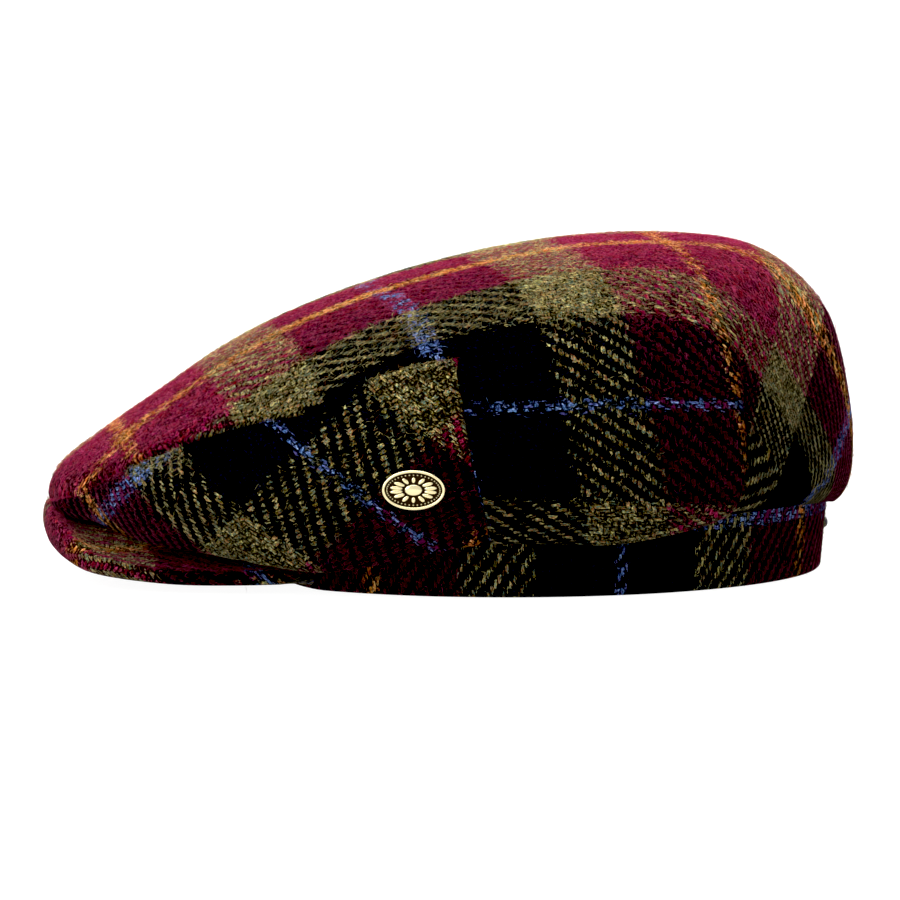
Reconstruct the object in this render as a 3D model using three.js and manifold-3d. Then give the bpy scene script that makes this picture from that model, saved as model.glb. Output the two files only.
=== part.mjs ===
// A flat cap of checked wool tweed for a head of about 57 cm, standing on its rim.
// Millimetres, +Z up. The peak points along -X and the wearer's left side is -Y.
// The origin is under the middle of the cap, on the surface that it stands on.
// Angles are in degrees, seen from above: 0 is the front, 90 the wearer's left and 180 the back.
import * as THREE from 'three';
import { mergeVertices } from 'three/addons/utils/BufferGeometryUtils.js';
import Module from 'manifold-3d';

const wasm = await Module();
wasm.setup();

// Cloth, the clearance between neighbouring pieces, and the wider one along a seam
const CLOTH = 2;
const GAP = 0.35;
const SEAM_GAP = 0.6;

// The head's oval, on the outer face of the band at its rim
const HEAD = { x: 23.7, halfLength: 103, halfWidth: 84 };

// Headband: it leans outwards, and its rim arches up over the forehead, behind the peak
const BAND = { wall: 3, height: 22, lean: 2, arch: 16, archEnd: 46 };

// Peak: its plan is half a rounded oval, and it is lowest at its corners
const PEAK = {
  x: -58,
  reach: 79.5,
  halfWidth: 65,
  squareness: 2.3,
  thickness: 5,
  edgeThickness: 2.6,
  rootEnd: 44,
  rootLift: 1.5,
  camber: 0.5,
};
// [angle around the peak's outline, height of its lower face]
const PEAK_EDGE = [[0, 16.2], [8, 13.6], [20, 10.2], [35, 5.6], [50, 3.4], [70, 2.3], [90, 2.8]];

// Crown: level outlines from the top of the cap down to its lower edge.
// front and back are X, widest is the X where an outline is widest.
const CROWN = table(['height', 'front', 'back', 'widest', 'halfWidth'], [
  [112.2, 64, 64, 64, 0],
  [111.4, 44, 88, 63, 24],
  [108.8, 25, 102.3, 58, 43],
  [104, 2, 112, 50, 59],
  [96.5, -25.5, 121, 43, 72],
  [86.5, -53.5, 128.8, 38, 82],
  [74, -78, 133, 35, 89],
  [60, -98.3, 135.7, 33, 93],
  [47, -116.5, 137.3, 32, 95],
  [36, -130.5, 137.5, 31, 95.2],
  [28, -134.8, 136.5, 30, 93.8],
  [22, -133, 134, 29, 91],
  [18, -128, 131, 28, 88.2],
]);
const LOWER_ROW = CROWN.height.length - 1;
const ROUNDNESS = { front: 2.1, back: 2 };

// The lower rows rise and fall so that the crown's edge clears the peak and gathers at the rear
const LIFT_FROM_ROW = 6;
const LIFT_GROWTH = 1.5;
// [angle, height of the crown's lower edge]
const LOWER_EDGE = [
  [0, 22.3], [16, 20.4], [24, 17.4], [32, 14.8], [40, 13.5], [48, 11.6], [56, 8.9], [63, 8.6], [72, 13.4],
  [80, 17.6], [98, 17], [107, 18.6], [116, 21], [131, 25], [147, 24.8], [162, 23.2], [180, 20],
];

// Below its edge a side panel turns in towards the band
const TURN_IN = { reach: 12, rise: 2.5 };

// [angle, height] of the seam over each side panel, up to the corner, and then down its rear edge
const SEAM_TOP = [
  [0, 26.5], [12, 29], [20, 32.5], [24, 39.5], [32, 49.5],
  [42, 57.3], [48, 60], [53, 69.5], [59, 75.7], [67.5, 79.5],
];
const SEAM_REAR = [[67.5, 79.5], [73, 65.5], [76.2, 53], [79.5, 37], [81, 28], [82, 17.5]];
const CORNER = 67.5;
const HEEL = 82;
const HEEL_CUT = 1.3;

// A dart gathers the crown at each rear side, from its lower edge upwards
const DART = { angle: 124, topRow: 4.5, fullRow: 6, depth: 1.4, halfWidth: 4 };

// Brass badge on the left side panel, with its pin and the clutch that holds it from behind
const BADGE = { angle: 71.8, height: 36.8, length: 20.6, width: 13 };
const PIN = { radius: 0.6, length: 6.4, seat: 0.5 };
// [share of the radius, height] from the middle of the back to the middle of the face
const BADGE_PROFILE = [
  [0, 0], [0.94, 0], [1, 0.4], [1, 1.1], [0.96, 1.6],
  [0.88, 1.6], [0.84, 1.1], [0.55, 1.2], [0.25, 1.5], [0, 1.6],
];
const CLUTCH = { radius: 5.5, thickness: 3, clearance: 1.3 };

// Stud on the back of the band
const STUD = { height: 13.6, radius: 2.2, rise: 1.7 };

// How finely the pieces are divided
const STEPS = {
  seamTop: 12,
  seamRear: 6,
  back: 16,
  rings: 12,
  panelRows: 6,
  band: 64,
  peakAcross: 24,
  peakAlong: 6,
  round: 32,
  dome: 4,
  bisections: 30,
};

// Vertices closer than this are one vertex
const WELD = 1e-3;

// Named columns of a table given row by row
function table(names, rows) {
  return Object.fromEntries(names.map((name, column) => [name, rows.map((row) => row[column])]));
}

// Smooth curve through evenly spaced values, at a place counted in values
function smooth(values, at) {
  const last = values.length - 1;
  const place = THREE.MathUtils.clamp(at, 0, last);
  const i = Math.min(Math.floor(place), last - 1);
  const f = place - i;
  const [b, c] = [values[i], values[i + 1]];
  const a = values[i - 1] ?? 2 * b - c;
  const d = values[i + 2] ?? 2 * c - b;
  return b + 0.5 * f * (c - a + f * (2 * a - 5 * b + 4 * c - d + f * (3 * (b - c) + d - a)));
}

// Smooth curve through [x, y] rows in order of x
function curve(rows, x) {
  const xs = rows.map((row) => row[0]);
  const within = THREE.MathUtils.clamp(x, xs[0], xs.at(-1));
  const i = Math.max(0, Math.min(xs.findLastIndex((each) => each <= within), xs.length - 2));
  return smooth(rows.map((row) => row[1]), i + (within - xs[i]) / (xs[i + 1] - xs[i]));
}

const radians = THREE.MathUtils.degToRad;

// Equal steps from one value to another, with both ends
function steps(from, to, count) {
  return Array.from({ length: count + 1 }, (_, i) => THREE.MathUtils.lerp(from, to, i / count));
}

// Cosine and sine of a rounded rectangle rather than of a circle
function squareTurn(angle, squareness) {
  const a = radians(angle);
  return [Math.cos(a), Math.sin(a)].map((v) => Math.sign(v) * Math.abs(v) ** (2 / squareness));
}

// Point on the outer face of the band
function bandPoint(angle, height, outset = 0) {
  const out = outset + (BAND.lean * height) / BAND.height;
  const a = radians(angle);
  return new THREE.Vector3(
    HEAD.x - (HEAD.halfLength + out) * Math.cos(a),
    -(HEAD.halfWidth + out) * Math.sin(a),
    height,
  );
}

// Height of the band's rim: level, with an arch at the front
function rimHeight(angle) {
  const share = Math.min(Math.abs(angle) / BAND.archEnd, 1);
  return BAND.arch * Math.cos((share * Math.PI) / 2) ** 2;
}

// How far a point lies outside the band, measured towards the middle of the head
function roomToBand(point) {
  const out = (BAND.lean * point.z) / BAND.height;
  const [x, y] = [point.x - HEAD.x, point.y];
  const scale = Math.hypot(x / (HEAD.halfLength + out), y / (HEAD.halfWidth + out));
  return Math.hypot(x, y) * (1 - 1 / scale);
}

// Depth of the dart's groove
function dartDepth(angle, row) {
  const start = THREE.MathUtils.smoothstep(row, DART.topRow, DART.fullRow);
  return DART.depth * start * Math.exp(-(((Math.abs(angle) - DART.angle) / DART.halfWidth) ** 2));
}

// Point on the crown's outer face, before the dart draws it in.
// row counts the crown's outlines from the top; past the last one the cloth turns in.
function crownForm(angle, row) {
  const at = Math.min(row, LOWER_ROW);
  const { height, front, back, widest, halfWidth } = CROWN;
  const forward = Math.abs(angle) < 90;
  const [c, s] = squareTurn(angle, forward ? ROUNDNESS.front : ROUNDNESS.back);
  const middle = smooth(widest, at);
  const end = smooth(forward ? front : back, at);
  const share = Math.max(at - LIFT_FROM_ROW, 0) / (LOWER_ROW - LIFT_FROM_ROW);
  const lift = share ** LIFT_GROWTH * (curve(LOWER_EDGE, Math.abs(angle)) - height.at(-1));
  const point = new THREE.Vector3(
    middle + (end - middle) * Math.abs(c),
    -smooth(halfWidth, at) * s,
    smooth(height, at) + lift,
  );
  if (row > LOWER_ROW) {
    const reach = THREE.MathUtils.clamp(roomToBand(point) - 2 * GAP, 0, TURN_IN.reach);
    const inward = new THREE.Vector3(HEAD.x - point.x, -point.y, 0).setLength(reach * (row - LOWER_ROW));
    point.add(inward);
    point.z += ((row - LOWER_ROW) * TURN_IN.rise * reach) / TURN_IN.reach;
  }
  return point;
}

// Outward direction of the crown's face
function crownNormal(angle, row) {
  const [turn, drop] = [0.25, 0.04];
  const at = Math.max(row, 2 * drop);
  const along = crownForm(angle + turn, at).sub(crownForm(angle - turn, at));
  const down = crownForm(angle, at + drop).sub(crownForm(angle, at - drop));
  return down.cross(along).normalize();
}

// Point in the crown's cloth: depth 0 is its outer face and 1 its inner face
function crownPoint(angle, row, depth) {
  const inset = dartDepth(angle, row) + depth * CLOTH;
  return crownForm(angle, row).addScaledVector(crownNormal(angle, row), -inset);
}

// Row at which the crown has a given height
function rowAt(angle, height) {
  let [low, high] = [0, LOWER_ROW];
  for (let i = 0; i < STEPS.bisections; i++) {
    const middle = (low + high) / 2;
    if (crownForm(angle, middle).z > height) low = middle;
    else high = middle;
  }
  return low;
}

// Row at which the top panel ends: on the seam at the sides, on the crown's lower edge at the rear
function topPanelEnd(angle) {
  const turn = Math.abs(angle);
  if (turn >= HEEL) return LOWER_ROW;
  return rowAt(turn, curve(turn <= CORNER ? SEAM_TOP : SEAM_REAR, turn));
}

// Row at which a side panel starts: clear of the seam, measured down the cloth and along it
function sidePanelStart(angle) {
  const end = topPanelEnd(angle);
  const here = crownForm(angle, end);
  const halfRow = here.distanceTo(crownForm(angle, end + 0.5));
  const degree = here.distanceTo(crownForm(angle + 1, end));
  const turn = SEAM_GAP / degree;
  return Math.max(topPanelEnd(angle - turn), topPanelEnd(angle + turn)) + (0.5 * SEAM_GAP) / halfRow;
}

// Moves every vertex of a geometry, welds it and turns its faces outwards
function bend(geometry, place) {
  geometry.deleteAttribute('normal');
  geometry.deleteAttribute('uv');
  const position = geometry.attributes.position;
  const vertex = new THREE.Vector3();
  for (let i = 0; i < position.count; i++) {
    vertex.fromBufferAttribute(position, i);
    position.setXYZ(i, ...place(vertex));
  }
  return weld(geometry);
}

// Merges shared vertices, drops collapsed triangles and turns the faces outwards
function weld(geometry) {
  const merged = mergeVertices(geometry, WELD);
  const corner = (i) => new THREE.Vector3().fromBufferAttribute(merged.attributes.position, i);
  const triangles = [];
  let volume = 0;
  for (let i = 0; i < merged.index.count; i += 3) {
    const [a, b, c] = [0, 1, 2].map((k) => merged.index.getX(i + k));
    if (a === b || b === c || c === a) continue;
    triangles.push([a, b, c]);
    volume += corner(a).dot(corner(b).cross(corner(c)));
  }
  merged.setIndex(triangles.flatMap(([a, b, c]) => (volume > 0 ? [a, b, c] : [a, c, b])));
  return merged;
}

// Solid for joining and cutting, and back
function solid(geometry) {
  return new wasm.Manifold(new wasm.Mesh({
    numProp: 3,
    vertProperties: Float32Array.from(geometry.attributes.position.array),
    triVerts: Uint32Array.from(geometry.index.array),
  }));
}

function geometryOf(manifold) {
  const mesh = manifold.getMesh();
  const geometry = new THREE.BufferGeometry();
  geometry.setAttribute('position', new THREE.BufferAttribute(Float32Array.from(mesh.vertProperties), 3));
  geometry.setIndex(Array.from(mesh.triVerts));
  return geometry;
}

// A disc of cloth: place(angle, share of the radius, depth) says where each of its points goes
function bentDisc(rings, angles, place) {
  const faces = [0, 1].map((depth) => steps(0, 1, rings).map((share) => new THREE.Vector2(share, depth)));
  const profile = [...faces[0], ...faces[1].reverse()];
  const count = angles.length - 1;
  return bend(new THREE.LatheGeometry(profile, count), (flat) => {
    const turn = (Math.atan2(flat.x, flat.z) / (2 * Math.PI) + 1) % 1;
    return place(angles[Math.round(turn * count)], Math.hypot(flat.x, flat.z), flat.y);
  });
}

// A sheet of cloth: place(index along, share down, depth) says where each of its points goes
function bentSheet(along, down, place) {
  return bend(new THREE.BoxGeometry(1, 1, 1, along, down, 1), (flat) => (
    place(Math.round((flat.x + 0.5) * along), flat.y + 0.5, flat.z + 0.5)
  ));
}

// Turned piece about Z from a closed profile of [radius, height] rows
function turned(profile) {
  const points = profile.map(([radius, height]) => new THREE.Vector2(radius, height));
  const lathe = new THREE.LatheGeometry(points, STEPS.round);
  return bend(lathe, (flat) => new THREE.Vector3(flat.z, flat.x, flat.y));
}

const half = [
  ...steps(0, CORNER, STEPS.seamTop),
  ...steps(CORNER, HEEL, STEPS.seamRear).slice(1),
  ...steps(HEEL, 180, STEPS.back).slice(1),
];

// Top panel: it runs from the lip over the top, and down the sides and back behind the side panels
function topPanel() {
  const angles = [...half.slice(1).reverse().map((angle) => -angle), ...half];
  const ends = new Map(half.map((angle) => [angle, topPanelEnd(angle)]));
  return bentDisc(STEPS.rings, angles, (angle, share, depth) => (
    crownPoint(angle, share * ends.get(Math.abs(angle)), depth)
  ));
}

// Side panel at the front of one side, from the middle of the front to its heel; side is 1 for the left
function sidePanel(side) {
  const front = GAP / 2;
  const heel = HEEL - HEEL_CUT;
  const angles = half.filter((angle) => angle < heel).map((angle) => Math.max(angle, front));
  angles.push(heel);
  const starts = angles.map(sidePanelStart);
  return bentSheet(angles.length - 1, STEPS.panelRows, (i, share, depth) => {
    const rows = STEPS.panelRows - 1;
    const step = Math.round(share * STEPS.panelRows);
    const row = step > rows ? LOWER_ROW + 1 : THREE.MathUtils.lerp(starts[i], LOWER_ROW, step / rows);
    return crownPoint(side * angles[i], row, depth);
  });
}

// Headband: an oval ring, flat along its rim except for the arch at the front, where it is narrower
function headband() {
  const levels = [0, 0.5, 1];
  const outer = levels.map((level) => new THREE.Vector2(2, level));
  const inner = levels.map((level) => new THREE.Vector2(1, level)).reverse();
  const profile = [...outer, ...inner, outer[0]];
  return bend(new THREE.LatheGeometry(profile, STEPS.band), (flat) => {
    const angle = THREE.MathUtils.radToDeg(Math.atan2(flat.x, flat.z));
    const inset = (2 - Math.hypot(flat.x, flat.z)) * BAND.wall;
    const rim = rimHeight(angle);
    return bandPoint(angle, rim + flat.y * (BAND.height - rim / 2), -inset);
  });
}

// Peak: a stiff blade from the band's outer face to its rounded outline
function peak() {
  return bentSheet(STEPS.peakAcross, STEPS.peakAlong, (i, share, depth) => {
    const turn = 2 * (i / STEPS.peakAcross) - 1;
    const rootAngle = turn * PEAK.rootEnd;
    const root = bandPoint(rootAngle, rimHeight(rootAngle) + PEAK.rootLift + PEAK.thickness, GAP);
    root.z -= PEAK.thickness;
    const [c, s] = squareTurn(turn * 90, PEAK.squareness);
    const edge = new THREE.Vector3(
      PEAK.x - PEAK.reach * c,
      -PEAK.halfWidth * s,
      curve(PEAK_EDGE, Math.abs(turn) * 90),
    );
    const point = root.lerp(edge, share);
    const thickness = share < 1 ? PEAK.thickness : PEAK.edgeThickness;
    point.z += PEAK.camber * Math.sin(share * Math.PI);
    point.z += (PEAK.thickness - thickness) / 2 + depth * thickness;
    return point;
  });
}

// Frame on the left panel's outer face for the badge: Z points out of the cloth and X along the cap
const badgeRow = rowAt(BADGE.angle, BADGE.height);
const outward = crownNormal(BADGE.angle, badgeRow);
const lengthwise = new THREE.Vector3(0, 0, 1).cross(outward).normalize();
const badgeSeat = new THREE.Group();
badgeSeat.position.copy(crownForm(BADGE.angle, badgeRow)).addScaledVector(outward, GAP);
badgeSeat.quaternion.setFromRotationMatrix(
  new THREE.Matrix4().makeBasis(lengthwise, outward.clone().cross(lengthwise), outward),
);
badgeSeat.updateMatrixWorld();

// Cylinder along Z of the badge's frame
function pinShape(radius, from, to) {
  return turned([[0, from], [radius, from], [radius, to], [0, to]]);
}

// The left panel has a hole for the badge's pin
function leftPanel() {
  const reach = GAP + 2 * CLOTH;
  const hole = pinShape(PIN.radius + GAP, -reach, reach).applyMatrix4(badgeSeat.matrixWorld);
  return geometryOf(solid(sidePanel(1)).subtract(solid(weld(hole))));
}

// Oval badge with a raised rim and a low dome, and its pin behind it
function badge() {
  const plate = turned(BADGE_PROFILE);
  plate.scale(BADGE.length / 2, BADGE.width / 2, 1);
  const pin = pinShape(PIN.radius, -PIN.length, PIN.seat);
  return geometryOf(solid(plate).add(solid(pin)));
}

// Clutch on the pin, behind the panel
function clutch() {
  const inner = PIN.radius + GAP;
  const top = -(GAP + CLOTH + CLUTCH.clearance);
  const bottom = top - CLUTCH.thickness;
  const outer = CLUTCH.radius;
  return turned([[inner, bottom], [outer, bottom], [outer, top], [inner, top], [inner, bottom]]);
}

// Low domed stud
function stud() {
  const dome = steps(0, 90, STEPS.dome).map(radians).map((a) => [
    STUD.radius * Math.cos(a),
    STUD.rise * Math.sin(a),
  ]);
  return turned([[0, 0], ...dome.slice(0, -1), [0, STUD.rise]]);
}

// Finishes: colour, roughness and metalness
const TWEED = { color: 0x4a1f1d, roughness: 0.95, metalness: 0 };
const TWEED_SIDE = { color: 0x3a3423, roughness: 0.95, metalness: 0 };
const TWEED_BAND = { color: 0x241413, roughness: 0.95, metalness: 0 };
const BRASS = { color: 0xc9b27c, roughness: 0.35, metalness: 1 };
const STEEL = { color: 0xb8b8b4, roughness: 0.4, metalness: 1 };
const DARK_METAL = { color: 0x26242a, roughness: 0.5, metalness: 0.8 };

function piece(name, geometry, finish) {
  const mesh = new THREE.Mesh(geometry, new THREE.MeshStandardMaterial(finish));
  mesh.name = name;
  return mesh;
}

badgeSeat.add(piece('badge', badge(), BRASS), piece('badge_clutch', clutch(), STEEL));

const backStud = piece('back_stud', stud(), DARK_METAL);
backStud.position.copy(bandPoint(180, STUD.height, 1.5 * GAP));
backStud.rotation.y = Math.PI / 2;

const cap = new THREE.Group();
cap.add(
  piece('crown_top', topPanel(), TWEED),
  piece('side_panel_left', leftPanel(), TWEED_SIDE),
  piece('side_panel_right', sidePanel(-1), TWEED_SIDE),
  piece('headband', headband(), TWEED_BAND),
  piece('peak', peak(), TWEED),
  badgeSeat,
  backStud,
);

export default cap;
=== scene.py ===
"""Looks of a flat cap: checked wool tweed on its panels, band and peak, and an oval brass badge.

Metres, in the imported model's frame: the peak points along -X, the wearer's left is -Y and +Z is up.
Angles are in degrees seen from above: 0 is the front, 90 the wearer's left and 180 the back.
The form's own sizes and tables are in millimetres.
"""
import logging
import math
from dataclasses import dataclass
from enum import Enum
from functools import partial

import bmesh
import bpy
import numpy as np
from mathutils import Matrix, Vector, noise


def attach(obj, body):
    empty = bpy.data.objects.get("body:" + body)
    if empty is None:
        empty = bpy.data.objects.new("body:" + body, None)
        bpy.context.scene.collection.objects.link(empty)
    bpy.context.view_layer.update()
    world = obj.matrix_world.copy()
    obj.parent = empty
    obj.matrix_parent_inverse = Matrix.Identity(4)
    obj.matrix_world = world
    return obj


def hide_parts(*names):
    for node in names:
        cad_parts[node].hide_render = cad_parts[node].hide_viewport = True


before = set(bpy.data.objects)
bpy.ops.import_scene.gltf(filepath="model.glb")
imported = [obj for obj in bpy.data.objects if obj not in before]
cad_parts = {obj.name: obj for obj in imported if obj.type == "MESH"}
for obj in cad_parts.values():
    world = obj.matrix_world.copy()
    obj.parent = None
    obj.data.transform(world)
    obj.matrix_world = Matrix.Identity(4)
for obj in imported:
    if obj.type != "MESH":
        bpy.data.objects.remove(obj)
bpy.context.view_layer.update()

LOG = logging.getLogger("flat_cap")
MM = 0.001
BODY = "root"
CLOTH_MAP = "cloth"
RAISED = "raised"
LOOSE = "loose"
WELD = 2e-6
TINY = 1e-6
BACK = 180.0
# Lengths on the cloth from an orange line: to the middle of the next blue one, and to the black
HALF_SETT = 98.5
BLACK_START = 62.5

Array = np.ndarray
Span = tuple[float, float]
Profile = tuple[Span, ...]
Tree = bpy.types.NodeTree
Socket = bpy.types.NodeSocket


class Side(Enum):
    """The wearer's two sides, as the sign of the angles there."""

    LEFT = 1
    RIGHT = -1


def linear(colour: str, alpha: float = 1.0) -> tuple[float, float, float, float]:
    """Turns an sRGB hex colour to linear.

    Args:
        colour: six hex digits after a hash.
        alpha: the fourth value of the result.
    Returns:
        Red, green, blue and alpha for a colour socket.
    """
    parts = [int(colour[i : i + 2], 16) / 255 for i in (1, 3, 5)]
    red, green, blue = (c / 12.92 if c <= 0.04045 else ((c + 0.055) / 1.055) ** 2.4 for c in parts)
    return red, green, blue, alpha


def add_node(
    tree: Tree, kind: str, *values: object, inputs: dict | None = None, **settings: object
) -> bpy.types.NodeOutputs:
    """Adds a shader node with its settings and links.

    Args:
        tree: the node tree that gets it.
        kind: the node's type, without the words that all of them start with.
        values: a value, or an output to link, for its inputs in order; None leaves one as it is.
        inputs: the same for other inputs, by name or number.
        settings: the node's own properties.
    Returns:
        The node's outputs.
    """
    node = tree.nodes.new(f"ShaderNode{kind}")
    for name, value in settings.items():
        setattr(node, name, value)
    for socket, value in (*enumerate(values), *(inputs or {}).items()):
        if isinstance(value, Socket):
            tree.links.new(value, node.inputs[socket])
        elif value is not None:
            node.inputs[socket].default_value = value
    return node.outputs


def add_object(name: str, data: bpy.types.ID) -> bpy.types.Object:
    """Makes an object of a mesh, a camera or a light, and puts it in the scene.

    Args:
        name: the object's name.
        data: what it shows.
    Returns:
        The object, at the origin.
    """
    made = bpy.data.objects.new(name, data)
    bpy.context.scene.collection.objects.link(made)
    return made


def smooth(values: Array, at: Array) -> Array:
    """Smooth curve through evenly spaced values.

    Args:
        values: the values in order.
        at: places counted in values.
    Returns:
        The curve's value at each place.
    """
    last = len(values) - 1
    place = np.clip(at, 0, last)
    i = np.minimum(np.floor(place).astype(int), last - 1)
    f = place - i
    ends = np.concatenate([[2 * values[0] - values[1]], values, [2 * values[-1] - values[-2]]])
    a, b, c, d = (ends[i + k] for k in range(4))
    return b + 0.5 * f * (c - a + f * (2 * a - 5 * b + 4 * c - d + f * (3 * (b - c) + d - a)))


def curve(rows: Profile, x: Array) -> Array:
    """Smooth curve through pairs of x and y in order of x, read at each x."""
    xs, ys = np.array(rows, float).T
    return smooth(ys, np.interp(x, xs, np.arange(len(xs))))


def ramp(low: float, high: float, x: Array) -> Array:
    """Smooth step from 0 at low to 1 at high."""
    t = np.clip((x - low) / (high - low), 0, 1)
    return t * t * (3 - 2 * t)


def bell(x: Array, width: float) -> Array:
    """Bell curve that is 1 at 0 and low past its width."""
    return np.exp(-((x / width) ** 2))


def path_length(points: Array) -> Array:
    """Length of each polyline along the second-last axis of an array of points."""
    return np.linalg.norm(np.diff(points, axis=-2), axis=-1).sum(-1)


def run_along(points: Array) -> Array:
    """Length from the start of each polyline to each of its points."""
    steps = np.linalg.norm(np.diff(points, axis=-2), axis=-1)
    return np.concatenate([0 * steps[..., :1], np.cumsum(steps, axis=-1)], axis=-1)


@dataclass(frozen=True)
class CapForm:
    """The cap's outer form, in millimetres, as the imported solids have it, with the seams drawn closer."""

    cloth: float = 2.0
    gap: float = 0.35
    seam_gap: float = 0.2
    head_x: float = 23.7
    head_length: float = 103.0
    head_width: float = 84.0
    band_height: float = 22.0
    band_lean: float = 2.0
    band_arch: float = 16.0
    band_arch_end: float = 46.0
    round_front: float = 2.1
    round_back: float = 2.0
    lift_row: float = 6.0
    lift_growth: float = 1.5
    turn_in: float = 12.0
    turn_rise: float = 2.5
    corner: float = 67.5
    heel: float = 82.0
    heel_cut: float = 0.4
    dart: float = 124.0
    badge_angle: float = 71.8
    badge_height: float = 36.8
    halvings: int = 30
    # Level outlines from the top down: height, front, back, widest and half width
    outlines: tuple[tuple[float, ...], ...] = (
        (112.2, 64, 64, 64, 0),
        (111.4, 44, 88, 63, 24),
        (108.8, 25, 102.3, 58, 43),
        (104, 2, 112, 50, 59),
        (96.5, -25.5, 121, 43, 72),
        (86.5, -53.5, 128.8, 38, 82),
        (74, -78, 133, 35, 89),
        (60, -98.3, 135.7, 33, 93),
        (47, -116.5, 137.3, 32, 95),
        (36, -130.5, 137.5, 31, 95.2),
        (28, -134.8, 136.5, 30, 93.8),
        (22, -133, 134, 29, 91),
        (18, -128, 131, 28, 88.2),
    )
    # Angle and height of the crown's lower edge
    lower_edge: Profile = (
        (0, 22.3), (16, 20.4), (24, 17.4), (32, 14.8), (40, 13.5), (48, 11.6), (56, 8.9), (63, 8.6),
        (72, 13.4), (80, 17.6), (98, 17), (107, 18.6), (116, 21), (131, 25), (147, 24.8), (162, 23.2),
        (180, 20),
    )
    # Angle and height of the seam over a side panel, and then down its rear edge
    seam_top: Profile = (
        (0, 26.5), (12, 29), (20, 32.5), (24, 39.5), (32, 49.5),
        (42, 57.3), (48, 60), (53, 69.5), (59, 75.7), (67.5, 79.5),
    )
    seam_rear: Profile = ((67.5, 79.5), (73, 65.5), (76.2, 53), (79.5, 37), (81, 28), (82, 17.5))

    @property
    def lower_row(self) -> int:
        """Number of the lowest outline."""
        return len(self.outlines) - 1

    def column(self, number: int, row: Array) -> Array:
        """One column of the outlines' table, read smoothly at each row."""
        values = np.array([line[number] for line in self.outlines], float)
        return smooth(values, np.minimum(row, self.lower_row))

    def band_point(self, angle: Array, height: Array, outset: Array = 0.0) -> Array:
        """Points on the outer face of the band.

        Args:
            angle: angles around the head.
            height: heights above the table.
            outset: how far outside the face.
        Returns:
            The points.
        """
        out = outset + self.band_lean * height / self.band_height
        a = np.radians(angle)
        x = self.head_x - (self.head_length + out) * np.cos(a)
        return np.stack(np.broadcast_arrays(x, -(self.head_width + out) * np.sin(a), height), -1)

    def rim_height(self, angle: Array) -> Array:
        """Height of the band's rim: level, with an arch at the front."""
        share = np.minimum(np.abs(angle) / self.band_arch_end, 1)
        return self.band_arch * np.cos(share * np.pi / 2) ** 2

    def room_to_band(self, point: Array) -> Array:
        """How far points lie outside the band.

        Args:
            point: the points.
        Returns:
            Distances towards the middle of the head.
        """
        out = self.band_lean * point[..., 2] / self.band_height
        x, y = point[..., 0] - self.head_x, point[..., 1]
        scale = np.hypot(x / (self.head_length + out), y / (self.head_width + out))
        return np.hypot(x, y) * (1 - 1 / np.maximum(scale, TINY))

    def lift(self, angle: Array, row: Array) -> Array:
        """How far the lower rows rise so that the crown's edge follows its table."""
        share = np.clip((row - self.lift_row) / (self.lower_row - self.lift_row), 0, 1)
        return share**self.lift_growth * (curve(self.lower_edge, np.abs(angle)) - self.outlines[-1][0])

    def crown(self, angle: Array, row: Array) -> Array:
        """Points on the crown's outer face.

        Args:
            angle: angles around the crown.
            row: outlines counted from the top; past the last one the cloth turns in towards the band.
        Returns:
            The points.
        """
        angle, row = np.broadcast_arrays(np.asarray(angle, float), np.asarray(row, float))
        a = np.radians(angle)
        c, s = np.cos(a), np.sin(a)
        forward = np.abs(angle) < 90
        power = 2 / np.where(forward, self.round_front, self.round_back)
        middle = self.column(3, row)
        end = np.where(forward, self.column(1, row), self.column(2, row))
        x = middle + (end - middle) * np.abs(c) ** power
        y = -self.column(4, row) * np.sign(s) * np.abs(s) ** power
        z = self.column(0, row) + self.lift(angle, np.minimum(row, self.lower_row))
        point = np.stack([x, y, z], -1)
        reach = np.clip(self.room_to_band(point) - 2 * self.gap, 0, self.turn_in)
        past = np.maximum(row - self.lower_row, 0) * reach
        inward = np.stack([self.head_x - x, -y], -1)
        point[..., :2] += inward * (past / np.maximum(np.linalg.norm(inward, axis=-1), TINY))[..., None]
        point[..., 2] += past * self.turn_rise / self.turn_in
        return point

    def normal(self, angle: Array, row: Array) -> Array:
        """Outward directions of the crown's face.

        Args:
            angle: angles around the crown.
            row: outlines counted from the top.
        Returns:
            Unit vectors.
        """
        turn, drop = 0.25, 0.04
        at = np.maximum(row, 2 * drop)
        along = self.crown(angle + turn, at) - self.crown(angle - turn, at)
        down = self.crown(angle, at + drop) - self.crown(angle, at - drop)
        out = np.cross(down, along)
        return out / np.maximum(np.linalg.norm(out, axis=-1, keepdims=True), TINY)

    def row_at(self, angle: Array, height: Array) -> Array:
        """Finds rows by their height.

        Args:
            angle: angles around the crown.
            height: a height for each.
        Returns:
            Rows at which the crown has these heights.
        """
        low = np.zeros_like(angle, float)
        high = np.full_like(low, self.lower_row)
        for _ in range(self.halvings):
            middle = (low + high) / 2
            above = self.crown(angle, middle)[..., 2] > height
            low, high = np.where(above, middle, low), np.where(above, high, middle)
        return low

    def top_end(self, angle: Array) -> Array:
        """Where the top panel ends: on the seam at the sides, on the crown's lower edge at the rear.

        Args:
            angle: angles around the crown.
        Returns:
            A row for each.
        """
        turn = np.abs(angle)
        height = np.where(turn <= self.corner, curve(self.seam_top, turn), curve(self.seam_rear, turn))
        return np.where(turn >= self.heel, self.lower_row, self.row_at(turn, height))

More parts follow.
